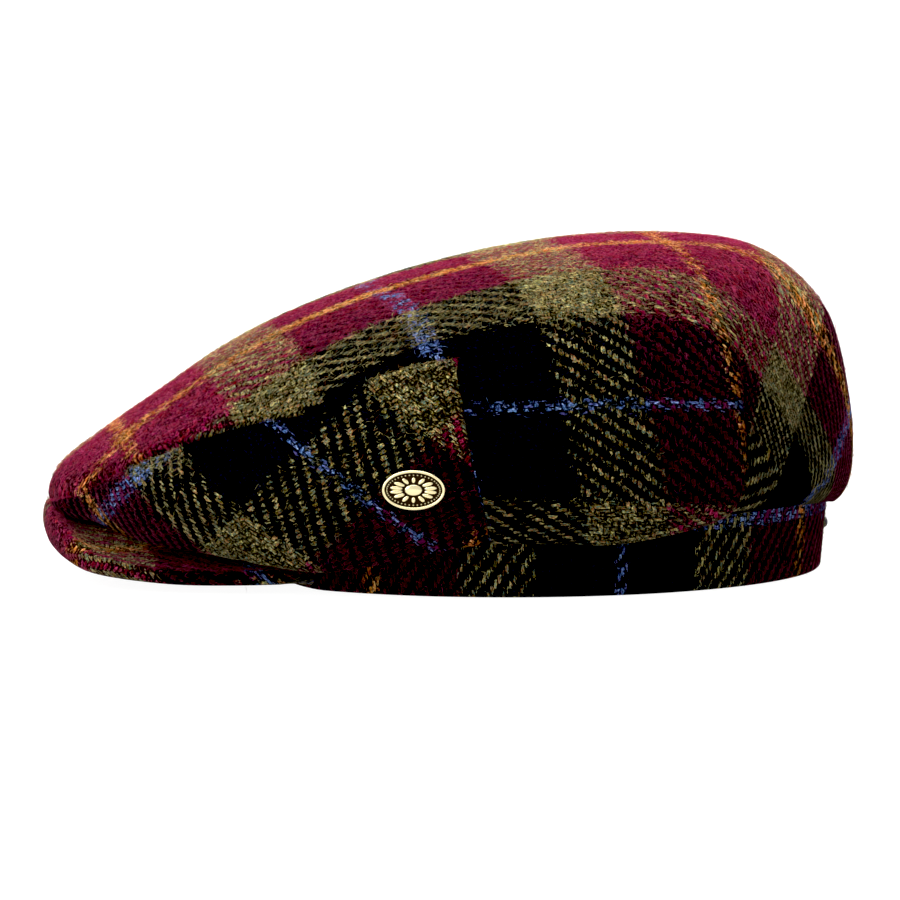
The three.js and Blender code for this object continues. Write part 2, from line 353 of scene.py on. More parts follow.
    def side_start(self, angle: Array) -> Array:
        """Where a side panel starts, clear of the seam.

        Args:
            angle: angles around the crown.
        Returns:
            A row for each.
        """
        end = self.top_end(angle)
        here = self.crown(angle, end)
        half_row = np.linalg.norm(self.crown(angle, end + 0.5) - here, axis=-1)
        turn = self.seam_gap / np.linalg.norm(self.crown(angle + 1, end) - here, axis=-1)
        nearest = np.maximum(self.top_end(angle - turn), self.top_end(angle + turn))
        return nearest + 0.5 * self.seam_gap / half_row

    def badge_seat(self) -> Matrix:
        """Finds the badge's seat on the left side panel, in metres.

        Returns:
            Its frame: Z points out of the cloth and X along the cap.
        """
        angle = np.array(self.badge_angle)
        row = self.row_at(angle, np.array(self.badge_height))
        out = Vector(self.normal(angle, row))
        along = Vector((0, 0, 1)).cross(out).normalized()
        turn = Matrix((along, out.cross(along), out)).transposed().to_4x4()
        return Matrix.Translation((Vector(self.crown(angle, row)) + self.gap * out) * MM) @ turn


@dataclass(frozen=True)
class CheckLay:
    """How the check lies on each panel, as cloth coordinates in millimetres.

    Both coordinates are 0 on an orange line. The first grows towards the back of the cap and the second
    towards the wearer's left on the crown; the band's cloth is turned by a right angle.
    """

    form: CapForm
    steps: int = 40
    orange_along: float = 4.8
    orange_across: float = 23.65
    across_scale: float = 1.075
    bow: float = 0.21
    bow_start: float = 15.0
    # Rows down the front and the back that the middle of the top runs over
    ridge_front: int = 10
    ridge_back: int = 9
    # Fullness at the rear corners: how much, where it lies, and where it ends
    fullness: float = 23.0
    full_angle: float = 142.0
    full_row: float = 5.7
    full_turn: float = 24.0
    full_drop: float = 2.3
    full_back: Span = (165.0, BACK)
    full_ahead: Span = (5.9, 6.9)
    # The lines across the wings are level here
    level: float = 0.0045
    level_from: float = -45.0
    level_reach: float = 50.0
    level_side: Span = (58.0, 92.0)
    # Behind the darts, cloth past a length across runs back
    turned_from: float = 94.0
    turned: float = 1.5
    # Over the lip the lines shift sideways
    nose: float = 12.0
    nose_along: Span = (-188.0, -215.0)
    # Row and length of cloth that the dart takes out behind it
    dart_top: float = 4.5
    dart_take: Profile = (
        (4.5, 0), (5.25, 8), (6.28, 17), (7.25, 24), (8, 29.5), (10, 36), (12, 42),
    )
    # Side panels: how the lines run, a point on the blue line, its slope, and the stretch below it
    side_level: float = 40.0
    side_along: Span = (0.709, 0.705)
    side_shift: float = -14.1
    side_point: Span = (-71.6, -17.5)
    side_slope: float = 0.71
    side_scale: float = 0.814
    side_stretch: float = 1.2
    side_growth: float = 0.33
    side_reach: float = 64.5
    band_start: float = 56.3
    band_scale: float = 1.18
    band_rear: float = 1.08
    band_level: float = 24.3
    peak_point: Span = (-104.0, -37.5)
    peak_scale: Span = (1.1, 1.25)

    def ridge(self, x: Array) -> tuple[Array, Array]:
        """Where the middle of the crown's top has given X.

        Args:
            x: the X of each place.
        Returns:
            The row, and the length along the top from its highest point, which is negative to the front.
        """
        rows = [np.linspace(0, end, end * self.steps + 1) for end in (self.ridge_front, self.ridge_back)]
        front, back = (self.form.crown(np.full_like(at, turn), at) for at, turn in zip(rows, (0.0, BACK)))
        xs = np.concatenate([front[::-1, 0], back[1:, 0]])
        lengths = np.concatenate([-run_along(front)[::-1], run_along(back)[1:]])
        at = np.concatenate([rows[0][::-1], rows[1][1:]])
        return np.interp(x, xs, at), np.interp(x, xs, lengths)

    def across(self, x: Array, row: Array, start: Array) -> Array:
        """Length of cloth across the crown, in the plane of each X.

        Args:
            x: the planes.
            row: the row down to which the length runs.
            start: the row on the middle of the top from which it runs.
        Returns:
            The lengths.
        """
        form = self.form
        rows = start[..., None] + (row - start)[..., None] * np.linspace(0, 1, self.steps)
        plane = x[..., None]
        middle = form.column(3, rows)
        forward = plane < middle
        end = np.where(forward, form.column(1, rows), form.column(2, rows))
        roundness = np.where(forward, form.round_front, form.round_back)
        room = np.where(np.abs(end - middle) < TINY, TINY, end - middle)
        c = np.clip((plane - middle) / room, 0, 1) ** (roundness / 2)
        angle = np.degrees(np.arccos(c))
        angle = np.where(forward, angle, BACK - angle)
        y = form.column(4, rows) * np.clip(1 - c * c, 0, 1) ** (1 / roundness)
        z = form.column(0, rows) + form.lift(angle, rows)
        return path_length(np.stack([y, z], -1))

    def over_top(self, angle: Array, row: Array) -> tuple[Array, Array]:
        """Lengths of cloth measured in planes across the cap.

        Args:
            angle: angles around the crown.
            row: rows from the top.
        Returns:
            Lengths along and across.
        """
        x = self.form.crown(angle, row)[..., 0]
        start, along = self.ridge(x)
        across = self.across(x, row, np.minimum(start, row))
        bowed = along - self.bow * (np.hypot(across, self.bow_start) - self.bow_start)
        beside = np.clip(bowed - self.level_from, -self.level_reach, self.level_reach)
        return bowed, across + self.level * beside**2 * ramp(*self.level_side, across)

    def slack(self, turn: Array, row: Array) -> Array:
        """Length of cloth that lies full at the rear corners, so that the lines below them hang lower."""
        corner = bell(turn - self.full_angle, self.full_turn) * bell(row - self.full_row, self.full_drop)
        return self.fullness * corner * (1 - ramp(*self.full_back, turn))

    def round_back(self, angle: Array, row: Array) -> tuple[Array, Array]:
        """Lengths of cloth behind the darts, where it comes down the back.

        Args:
            angle: angles around the crown.
            row: rows from the top.
        Returns:
            Lengths along and across.
        """
        form = self.form
        turn = np.abs(angle)
        share = np.linspace(0, 1, self.steps)
        to_back = form.crown(turn[..., None] + (BACK - turn)[..., None] * share, row[..., None])
        from_dart = form.crown(form.dart + (BACK - form.dart) * share, row[..., None])
        whole = path_length(from_dart)
        y = path_length(to_back) / np.maximum(whole, TINY)
        dart = np.full_like(turn, form.dart)
        along, _ = self.over_top(dart, np.minimum(row, self.dart_top))
        along = along + curve(self.dart_take, row)
        _, across = self.over_top(dart, row)
        down = path_length(form.crown(BACK, row[..., None] * share))
        return along + (down - along) * (1 - y * y), whole * y + (across - whole) * y * y

    def top(self, angle: Array, row: Array, behind: Array) -> Array:
        """Cloth coordinates on the top panel.

        Args:
            angle: angles around the crown.
            row: rows from the top.
            behind: whether each place lies behind its dart.
        Returns:
            Pairs of coordinates.
        """
        turn = np.abs(angle)
        ahead = self.over_top(turn, row)
        rear = self.round_back(np.where(behind, turn, self.form.dart), row)
        along, across = (np.where(behind, r, a) for a, r in zip(ahead, rear))
        across = across - self.slack(turn, row) * np.where(behind, 1, 1 - ramp(*self.full_ahead, row))
        along = along - self.orange_along
        across = np.where(angle < 0, -1, 1) * self.across_scale * across - self.orange_across
        across = across - np.where(behind, self.turned, 0) * np.maximum(across - self.turned_from, 0)
        return np.stack([along, across - self.nose * ramp(*self.nose_along, along)], -1)

    def side(self, angle: Array, row: Array, side: Side) -> Array:
        """Cloth coordinates on a side panel, whose cloth is turned so that its lines run down to the back.

        Args:
            angle: angles from the front, without a sign.
            row: rows from the top.
            side: which panel.
        Returns:
            Pairs of coordinates.
        """
        form = self.form
        turns = angle[..., None] + (90 - angle)[..., None] * np.linspace(0, 1, self.steps)
        outline = form.crown(turns, np.minimum(row, form.lower_row)[..., None])
        p = form.column(3, row) - path_length(outline)
        under = form.turn_in * np.maximum(row - form.lower_row, 0)
        q = self.side_level - form.crown(angle, row)[..., 2] + under
        along = self.side_along[0] * p + self.side_along[1] * q + self.side_shift
        below = q - self.side_point[1] - self.side_slope * (p - self.side_point[0])
        low = self.side_scale * below
        stretch = self.side_stretch + self.side_growth * np.clip(low / self.side_reach, 0, 1) ** 3
        return np.stack([along, HALF_SETT + side.value * low * stretch], -1)

    def band(self, angle: Array, height: Array) -> Array:
        """Cloth coordinates on the band.

        Args:
            angle: angles around the head.
            height: heights above the table.
        Returns:
            Pairs of coordinates.
        """
        turn = np.linspace(0, 360, 721)
        run = run_along(self.form.band_point(turn, 0.0 * turn))
        start = np.interp(self.band_start, turn, run)
        across = self.band_scale * (np.interp(np.mod(angle, 360), turn, run) - start)
        across = across + (self.band_rear - 1) * np.maximum(across - HALF_SETT, 0)
        return np.stack(np.broadcast_arrays(HALF_SETT + height - self.band_level, across), -1)

    def peak(self, point: Array) -> Array:
        """Cloth coordinates on the peak, which the cloth covers from its root over the edge and back below.

        Args:
            point: points by column and by step from the root on.
        Returns:
            Pairs of coordinates.
        """
        flat = point[..., :2]
        outward = flat[:, flat.shape[1] // 2] - flat[:, 0]
        outward /= np.linalg.norm(outward, axis=-1, keepdims=True)
        x, y = np.moveaxis(flat[:, :1] + outward[:, None] * run_along(point)[..., None], -1, 0)
        along = BLACK_START + self.peak_scale[0] * (x - self.peak_point[0])
        return np.stack([along, self.peak_scale[1] * (self.peak_point[1] - y)], -1)


@dataclass(frozen=True)
class Finish:
    """A finish, made as a material that is named for what the real one is."""

    name: str

    def look(self, tree: Tree) -> dict[str, object]:
        """Adds the finish's own nodes, and returns the inputs of its shader."""
        raise NotImplementedError

    def patches(self, tree: Tree, length: float, detail: float = 3.0) -> Socket:
        """Adds soft patches of a real size.

        Args:
            tree: the material's nodes.
            length: how long a patch is, in millimetres.
            detail: how many finer layers it has.
        Returns:
            A share from 0 to 1.
        """
        place = add_node(tree, "TexCoord")["Object"]
        noise_inputs = {"Vector": place, "Scale": 1 / (length * MM), "Detail": detail}
        return add_node(tree, "TexNoise", inputs=noise_inputs)["Fac"]

    def build(self) -> bpy.types.Material:
        """Makes the material.

        Returns:
            The material.
        """
        material = bpy.data.materials.new(self.name)
        material.use_nodes = True
        tree = material.node_tree
        tree.nodes.clear()
        shader = add_node(tree, "BsdfPrincipled", inputs=self.look(tree))[0]
        add_node(tree, "OutputMaterial", shader)
        return material


@dataclass(frozen=True)
class Yarn:
    """A colour of the check.

    It says how far from an orange line the yarn starts, the shades its fibres are blended from, the shade of
    its nap, and how far the yarn sinks into a black one that it crosses, whose colour then shows through it.
    """

    start: float
    deep: str
    main: str
    light: str
    warm: str
    cool: str
    nap: str
    sunk: float


@dataclass(frozen=True)
class Weave:
    """Node outputs that say where in the weave a place lies.

    They are the place on the cloth with the yarns' wander, the numbers of the two yarns that cross there, the
    place within their crossing, the crossing's number across the twill's lines, its step in the twill's
    repeat, and whether the warp is on top.
    """

    place: Socket
    number: Socket
    within: Socket
    order: Socket
    step: Socket
    warp_over: Socket


@dataclass(frozen=True)
class WoolTweed(Finish):
    """Wool tweed: a milled two-and-two twill of soft, heathered yarn, in a large check.

    The eye sees slanting rows of short woolly floats, each blended from fibres of several shades. Where two
    colours cross, the floats stand apart on the darker yarn; where one crosses itself, they felt together.
    A low nap of loose fibres veils the dark yarn where the cloth turns away.
    """

    name: str = "wool_tweed"
    pitch_along: float = 1.75
    pitch_across: float = 1.46
    repeat: float = 4.0
    yarns: tuple[Yarn, ...] = (
        Yarn(0.0, "#8c3c0c", "#dc8a3c", "#fcd494", "#f09020", "#b84a28", "#f0b070", 0.1),
        Yarn(2.0, "#4c0014", "#98082f", "#b8486c", "#a01828", "#6c1444", "#f888a4", 0.83),
        Yarn(34.0, "#0c0800", "#786820", "#dcd088", "#b06840", "#608c84", "#e0d4a8", 0.1),
        Yarn(BLACK_START, "#000000", "#000000", "#010103", "#000000", "#101434", "#000000", 0.0),
        Yarn(94.9, "#0c1438", "#4c6cb8", "#acc0f0", "#685ca0", "#6c90cc", "#604c74", 0.1),
    )
    lengthwise: float = 1.4
    wander: float = 0.75
    wander_length: float = 4.0
    wander_detail: float = 5.0
    wander_rough: float = 0.68
    # Wool fibres are far finer: they are drawn in bundles, as coarse as they need to show
    fibre_across: float = 0.5
    fibre_along: float = 1.1
    fibre_detail: float = 2.0
    fibre_rough: float = 0.6
    fibre_span: Span = (0.3, 0.7)
    # How far fibres and chance make a float ragged, and the height from which it covers the yarn below
    ragged: float = 2.8
    uneven: float = 0.7
    cover: Span = (2.35, 2.75)
    fray: float = 9.0
    # Shares of the shade over which each blend sets in
    float_shade: float = 0.4
    main_from: Span = (0.15, 0.5)
    light_from: Span = (0.6, 0.95)
    fleck_from: Span = (0.52, 0.6)
    fleck: float = 0.9
    value: Span = (0.5, 1.5)
    hue: Span = (0.485, 0.515)
    # Painted shade: the value left in the gaps between the floats, standing in for the shade that the fibres
    # cast there
    gap_shade: float = 0.06
    # Shares of the crossing floats that the thin lines' yarn comes through
    orange_hair: float = 0.25
    blue_hair: float = 0.35
    # Painted highlight on loose hairs: how much lighter their value is, and how far their fibres blend to the
    # light shade
    hair_highlight: float = 0.12
    hair_highlight_blend: float = 0.3
    relief: float = 0.45
    relief_fibre: float = 0.9
    rough: float = 0.92
    nap: float = 1.0
    nap_spread: float = 0.11
    nap_shared: float = 0.15
    nap_value: Span = (0.4, 1.5)

    def stripes(self, tree: Tree, line: Socket, shade: str) -> bpy.types.NodeOutputs:
        """Adds the check's row of yarn colours.

        Args:
            tree: the material's nodes.
            line: share of half a sett from the nearest orange line.
            shade: which of each yarn's shades.
        Returns:
            The colour, and how far the yarn sinks.
        """
        outputs = add_node(tree, "ValToRGB", line)
        colours = outputs[0].node.color_ramp
        colours.interpolation = "CONSTANT"
        for number, yarn in enumerate(self.yarns):
            start = yarn.start / HALF_SETT
            stop = colours.elements[0] if number == 0 else colours.elements.new(start)
            stop.position = start
            stop.color = linear(getattr(yarn, shade), yarn.sunk)
        colours.elements.remove(colours.elements[len(self.yarns)])
        return outputs

    def weave(self, tree: Tree) -> Weave:
        """Adds the twill: two over, two under, one yarn further along in each row.

        Args:
            tree: the material's nodes.
        Returns:
            Where each place lies in it.
        """
        add = partial(add_node, tree)
        cloth = add("UVMap", uv_map=CLOTH_MAP)[0]
        wander = {
            "Vector": cloth,
            "Scale": 1 / (self.wander_length * MM),
            "Detail": self.wander_detail,
            "Roughness": self.wander_rough,
        }
        drift = add("TexNoise", inputs=wander)["Color"]
        centred = add("VectorMath", drift, (0.5, 0.5, 0.5), operation="SUBTRACT")[0]
        reach = 2 * self.wander * MM
        place = add("VectorMath", centred, (reach, reach, 0), cloth, operation="MULTIPLY_ADD")[0]
        count = (1 / (self.pitch_along * MM), 1 / (self.pitch_across * MM), 0)
        cell = add("VectorMath", place, count, (0, 0.5, 0), operation="MULTIPLY_ADD")[0]
        number = add("VectorMath", cell, operation="FLOOR")[0]
        within = add("VectorMath", cell, operation="FRACTION")[0]
        warp, weft, _ = add("SeparateXYZ", number)
        order = add("Math", warp, weft, operation="SUBTRACT")[0]
        step = add("Math", order, self.repeat, operation="FLOORED_MODULO")[0]
        warp_over = add("Math", step, self.repeat / 2 - 0.5, operation="LESS_THAN")[0]
        return Weave(place, number, within, order, step, warp_over)

    def ridge(self, tree: Tree, weave: Weave) -> Socket:
        """Adds the form of the floats, each a low ridge: round across, and sinking at both ends.

        Args:
            tree: the material's nodes.
            weave: where each place lies.
        Returns:
            The ridge's height, from 0 to 1.
        """
        add = partial(add_node, tree)
        u, v, _ = add("SeparateXYZ", weave.within)
        warp_end = add("Math", v, weave.step, operation="SUBTRACT")[0]
        weft_end = add("Math", u, weave.step, operation="ADD")[0]
        weft_end = add("Math", weft_end, self.repeat - 1, operation="SUBTRACT")[0]
        along = add("Mix", weave.warp_over, None, weft_end, warp_end)[0]
        across = add("Mix", weave.warp_over, None, v, u)[0]
        across = add("Math", across, 2.0, -1.0, operation="MULTIPLY_ADD")[0]
        falls = []
        for off in (along, across):
            square = add("Math", off, off, operation="MULTIPLY")[0]
            falls.append(add("Math", 1.0, square, operation="SUBTRACT")[0])
        both = add("Math", *falls, operation="MULTIPLY")[0]
        return add("Math", both, 0.5, operation="POWER")[0]

    def chances(self, tree: Tree, weave: Weave) -> tuple[Socket, ...]:
        """Gives every float a size, a depth and a tint of its own.

        Args:
            tree: the material's nodes.
            weave: where each place lies.
        Returns:
            The three, each from 0 to 1.
        """
        add = partial(add_node, tree)
        warp, weft, _ = add("SeparateXYZ", weave.number)
        run = add("Math", weave.order, self.repeat, operation="DIVIDE")[0]
        run = add("Math", run, operation="FLOOR")[0]
        strand = add("Mix", weave.warp_over, None, weft, warp)[0]
        identity = add("CombineXYZ", strand, run, weave.warp_over)[0]
        chance = add("TexWhiteNoise", identity)["Color"]
        return tuple(add("SeparateColor", chance))

    def fibres(self, tree: Tree, weave: Weave) -> tuple[Socket, Socket, Socket]:
        """Adds fibres that lie along the yarn on top.

        Args:
            tree: the material's nodes.
            weave: where each place lies.
        Returns:
            The fibres, and where warm and cool flecks are among them.
        """
        add = partial(add_node, tree)
        across, along = 1 / (self.fibre_across * MM), 1 / (self.fibre_along * MM)
        ways = {0: weave.warp_over, 4: (along, across, 0), 5: (across, along, 0)}
        grain = add("Mix", inputs=ways, data_type="VECTOR")[1]
        place = add("VectorMath", weave.place, grain, operation="MULTIPLY")[0]
        spread = {"Vector": place, "Scale": 1.0, "Detail": self.fibre_detail, "Roughness": self.fibre_rough}
        fibre, fleck = add("TexNoise", inputs=spread)
        _, warm, cool = add("SeparateColor", fleck)
        return fibre, warm, cool

    def lines(self, tree: Tree, weave: Weave, tint: Socket, loose: Socket) -> tuple[Socket, Socket]:
        """Args:
            tree: the material's nodes.
            weave: where each place lies.
            tint: a chance for each float.
            loose: 1 on loose hairs.
        Returns:
            Shares of half a sett from the nearest orange line, for the yarn that shows and the one below.
        """
        add = partial(add_node, tree)
        share = (self.pitch_along / HALF_SETT, self.pitch_across / HALF_SETT, 0)
        middle = add("VectorMath", weave.number, (0.5, 0, 0), operation="ADD")[0]
        middle = add("VectorMath", middle, share, operation="MULTIPLY")[0]
        warp, weft, _ = add("SeparateXYZ", middle)
        warp, weft = (add("Math", line, 1.0, operation="PINGPONG")[0] for line in (warp, weft))
        weft = add("Math", weft, self.lengthwise / HALF_SETT, operation="SUBTRACT")[0]
        upper = add("Mix", weave.warp_over, None, weft, warp)[0]
        under = add("Mix", weave.warp_over, None, warp, weft)[0]

        # The hairy yarn of the thin lines comes through some of the floats that cross it
        _, red, olive, black, blue = (yarn.start / HALF_SETT for yarn in self.yarns)
        on_orange = add("Math", under, red, operation="LESS_THAN")[0]
        on_blue = add("Math", under, blue, operation="GREATER_THAN")[0]
        by_orange = add("Math", tint, self.orange_hair, operation="LESS_THAN")[0]
        by_blue = add("Math", tint, self.blue_hair, operation="LESS_THAN")[0]
        through = add("Math", on_orange, by_orange, operation="MULTIPLY")[0]
        through = add("Math", on_blue, by_blue, through, operation="MULTIPLY_ADD")[0]

        # Loose hairs of blue, and of black where it lies on red, take the colour below
        on_red = add("Math", under, olive, operation="LESS_THAN")[0]
        is_dark = add("Math", upper, black, operation="GREATER_THAN")[0]
        is_blue = add("Math", upper, blue, operation="GREATER_THAN")[0]
        swapped = add("Math", is_dark, on_red, operation="MULTIPLY")[0]
        swapped = add("Math", swapped, is_blue, operation="MAXIMUM")[0]
        through = add("Math", swapped, loose, through, operation="MULTIPLY_ADD", use_clamp=True)[0]
        return add("Mix", through, None, upper, under)[0], under

    def heather(self, tree: Tree, line: Socket, shade: Socket, warm: Socket, cool: Socket) -> Socket:
        """Blends a yarn from fibres of a deep, a main and a light shade, with warm and cool flecks.

        Args:
            tree: the material's nodes.
            line: the yarn's place in the check.
            shade: how light the fibres are.
            warm: where warm flecks lie.
            cool: where cool flecks lie.
        Returns:
            The colour.
        """
        blends = (
            ("main", shade, self.main_from, 1.0),
            ("light", shade, self.light_from, 1.0),
            ("warm", warm, self.fleck_from, self.fleck),
            ("cool", cool, self.fleck_from, self.fleck),
        )
        colour = self.stripes(tree, line, "deep")["Color"]
        for name, where, span, most in blends:
            share = add_node(tree, "MapRange", where, *span, 0.0, most)[0]
            added = self.stripes(tree, line, name)["Color"]
            colour = add_node(tree, "Mix", inputs={0: share, 6: colour, 7: added}, data_type="RGBA")[2]
        return colour

    def look(self, tree: Tree) -> dict[str, object]:
        """Adds the cloth's nodes, which read the cloth map.

        Args:
            tree: the material's nodes.
        Returns:
            The inputs of its shader.
        """
        add = partial(add_node, tree)
        weave = self.weave(tree)
        size, depth, tint = self.chances(tree, weave)
        fibre, warm, cool = self.fibres(tree, weave)

        # Ragged floats cover the yarn below, and loose hairs lie on top of them
        loose = add("Attribute", attribute_name=LOOSE)["Fac"]
        tuft = add("Math", fibre, self.ragged, self.ridge(tree, weave), operation="MULTIPLY_ADD")[0]
        tuft = add("Math", size, self.uneven, tuft, operation="MULTIPLY_ADD")[0]
        cover = add("MapRange", tuft, *self.cover, interpolation_type="SMOOTHSTEP")[0]
        cover = add("Math", cover, loose, operation="MAXIMUM")[0]

        # Stray fibres blur the edges of the stripes
        upper, under = self.lines(tree, weave, tint, loose)
        fray = self.fray / HALF_SETT
        stray = add("Math", warm, fray, -fray / 2, operation="MULTIPLY_ADD")[0]
        upper = add("Math", upper, stray, operation="ADD")[0]

        # Fibres, floats and loose hairs differ in shade; loose hairs are painted paler, as a highlight
        strand = add("MapRange", fibre, *self.fibre_span)[0]
        shade = add("Math", depth, self.float_shade, -self.float_shade / 2, operation="MULTIPLY_ADD")[0]
        shade = add("Math", strand, shade, operation="ADD")[0]
        shade = add("Math", loose, self.hair_highlight_blend, shade, operation="MULTIPLY_ADD")[0]
        colour = self.heather(tree, upper, shade, warm, cool)

        # A yarn sunk in black takes on its colour, and between the floats both yarns show, in shade
        main, sunk = self.stripes(tree, upper, "main")
        both = {0: 1.0, 6: main, 7: self.stripes(tree, under, "main")["Color"]}
        below = add("Mix", inputs=both, data_type="RGBA", blend_type="MULTIPLY")[2]
        below = add("Gamma", below, 0.5)[0]
        sunk = add("Math", sunk, loose, operation="SUBTRACT", use_clamp=True)[0]
        over_dark = add("Math", under, BLACK_START / HALF_SETT, operation="GREATER_THAN")[0]
        sunk = add("Math", sunk, over_dark, operation="MULTIPLY")[0]
        colour = add("Mix", inputs={0: sunk, 6: colour, 7: below}, data_type="RGBA")[2]
        colour = add("Mix", inputs={0: cover, 6: below, 7: colour}, data_type="RGBA")[2]

        # Loose hairs are painted lighter, as a highlight where they catch the light, and every float has a
        # hue of its own
        # Painted shade: the gaps between the floats are darkened
        dim = add("MapRange", cover, 0.0, 1.0, self.gap_shade, 1.0)[0]
        value = add("MapRange", shade, 0.0, 1.0, *self.value)[0]
        value = add("Math", value, dim, operation="MULTIPLY")[0]
        value = add("Math", loose, self.hair_highlight, value, operation="MULTIPLY_ADD")[0]
        hue = add("MapRange", tint, 0.0, 1.0, *self.hue)[0]
        colour = add("HueSaturation", inputs={"Hue": hue, "Value": value, "Color": colour})[0]

        # The nap has the yarns' own shades, in tufts
        naps = {6 + k: self.stripes(tree, line, "nap")["Color"] for k, line in enumerate((upper, under))}
        fuzz = add("Mix", inputs={0: self.nap_shared, **naps}, data_type="RGBA")[2]
        tufts = add("MapRange", shade, 0.0, 1.0, *self.nap_value)[0]
        fuzz = add("HueSaturation", inputs={"Value": tufts, "Color": fuzz})[0]

        height = add("Math", fibre, self.relief_fibre, cover, operation="MULTIPLY_ADD")[0]
        relief = {"Height": height, "Strength": 1.0, "Distance": self.relief * MM}
        return {
            "Base Color": colour,
            "Roughness": self.rough,
            "Specular IOR Level": 0.0,
            "Sheen Weight": self.nap,
            "Sheen Roughness": self.nap_spread,
            "Sheen Tint": fuzz,
            "Normal": add("Bump", inputs=relief)[0],
        }


def bent_grid(name: str, place: Array, cloth: Array) -> bpy.types.Mesh:
    """Bends a flat grid into a closed piece of cloth.

    Args:
        name: the mesh's name.
        place: points in millimetres by column and row; edges that meet are sewn together.
        cloth: cloth coordinates in millimetres by column and row.
    Returns:
        The mesh, with its cloth map.
    """
    columns, rows = place.shape[:2]
    bm = bmesh.new()
    bmesh.ops.create_grid(bm, x_segments=columns - 1, y_segments=rows - 1, size=0.5)
    mesh = bpy.data.meshes.new(name)
    bm.to_mesh(mesh)
    bm.free()
    flat = np.empty((len(mesh.vertices), 3), np.float32)
    mesh.vertices.foreach_get("co", flat.ravel())
    column = np.rint((flat[:, 0] + 0.5) * (columns - 1)).astype(int)
    row = np.rint((flat[:, 1] + 0.5) * (rows - 1)).astype(int)
    mesh.vertices.foreach_set("co", (place[column, row] * MM).astype(np.float32).ravel())
    corners = np.empty(len(mesh.loops), np.int32)
    mesh.loops.foreach_get("vertex_index", corners)
    layer = mesh.uv_layers.new(name=CLOTH_MAP)
    layer.uv.foreach_set("vector", (cloth[column, row][corners] * MM).astype(np.float32).ravel())
    bm = bmesh.new()
    bm.from_mesh(mesh)
    bmesh.ops.remove_doubles(bm, verts=bm.verts, dist=WELD)
    bmesh.ops.recalc_face_normals(bm, faces=bm.faces)
    for face in bm.faces:
        face.smooth = True
    bm.to_mesh(mesh)
    bm.free()
    return mesh


def uneven(point: Array, reach: float, lengths: tuple[float, ...]) -> Array:
    """Gentle swells of soft cloth.

    Args:
        point: points in millimetres.
        reach: how far the first swells reach; each next kind reaches a third as far.
        lengths: how long a swell of each kind is.
    Returns:
        A distance for each point.
    """
    flat = point.reshape(-1, 3)
    out = sum(
        reach / 3**k * np.array([noise.noise(p) for p in flat / length]) for k, length in enumerate(lengths)
    )
    return out.reshape(point.shape[:-1])


def hem_section(wall: float, reach: float, turns: int = 6) -> Array:
    """Rounded edge of a wall, from the outer face to the inner one.

    Args:
        wall: the wall's thickness.
        reach: how far from the edge the rounding starts.
        turns: steps round the edge.
    Returns:
        Distance from the edge and depth at each step.
    """
    bend = np.radians(np.linspace(-90, 90, turns + 1))
    return np.stack([reach * (1 - np.cos(bend)), wall / 2 * (1 + np.sin(bend))], -1)


def rounded(share: Array) -> Array:
    """Share of a wall's thickness near a rounded end, from 0 on the end to 1."""
    return np.sqrt(1 - (1 - np.clip(share, 0, 1)) ** 2)


@dataclass
class CapPiece:
    """A piece of the cap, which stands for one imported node."""

    form: CapForm
    material: bpy.types.Material
    node: str = ""
    slot: str = ""

    def build(self) -> bpy.types.Object:
        """Makes the piece."""
        raise NotImplementedError

    def make(self) -> list[bpy.types.Object]:
        """Makes the piece and all that grows on it."""
        return [self.build()]

    def dress(self, name: str, mesh: bpy.types.Mesh) -> bpy.types.Object:
        """Makes an object of a mesh, and lets it stand for its node.

        Args:
            name: the object's name.
            mesh: the mesh, in its place.
        Returns:
            The piece, in its material.
        """
        piece = add_object(name, mesh)
        mesh.materials.append(self.material)
        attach(piece, BODY)
        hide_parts(self.node)
        return piece


@dataclass
class ClothPiece(CapPiece):
    """A piece of the cap's cloth, with the loose wool on it."""

    slot: str = "tweed_top"
    swell: float = 0.0
    swell_lengths: tuple[float, ...] = ()
    hairs: int = 7000
    hair_seeds: tuple[int, ...] = ()
    # Hairs grow on the faces that look away from this height inside the cap, or on all of them
    hollow: float | None = 40.0

    @property
    def lay(self) -> CheckLay:
        """How the check lies on this form."""
        return CheckLay(self.form)

    def swells(self, point: Array) -> Array:
        """How far this cloth swells at each point."""
        return uneven(point, self.swell, self.swell_lengths)

    def sew(self, place: Array, cloth: Array) -> bpy.types.Object:
        """Makes the piece of points and cloth coordinates by column and row."""
        name = f"{self.node}_tweed"
        return self.dress(name, bent_grid(name, place, cloth))

    def make(self) -> list[bpy.types.Object]:
        """Makes the piece and its loose wool.

        Returns:
            The piece, and a mesh of hairs for each seed.
        """
        made = [self.build()]
        middle = None if self.hollow is None else np.array((self.form.head_x, 0, self.hollow)) * MM
        for number, seed in enumerate(self.hair_seeds, 1):
            hair = WoolHair(seed, self.hairs).build(f"{self.node}_hair_{number}", made[0], middle)
            made.append(hair)
        return made


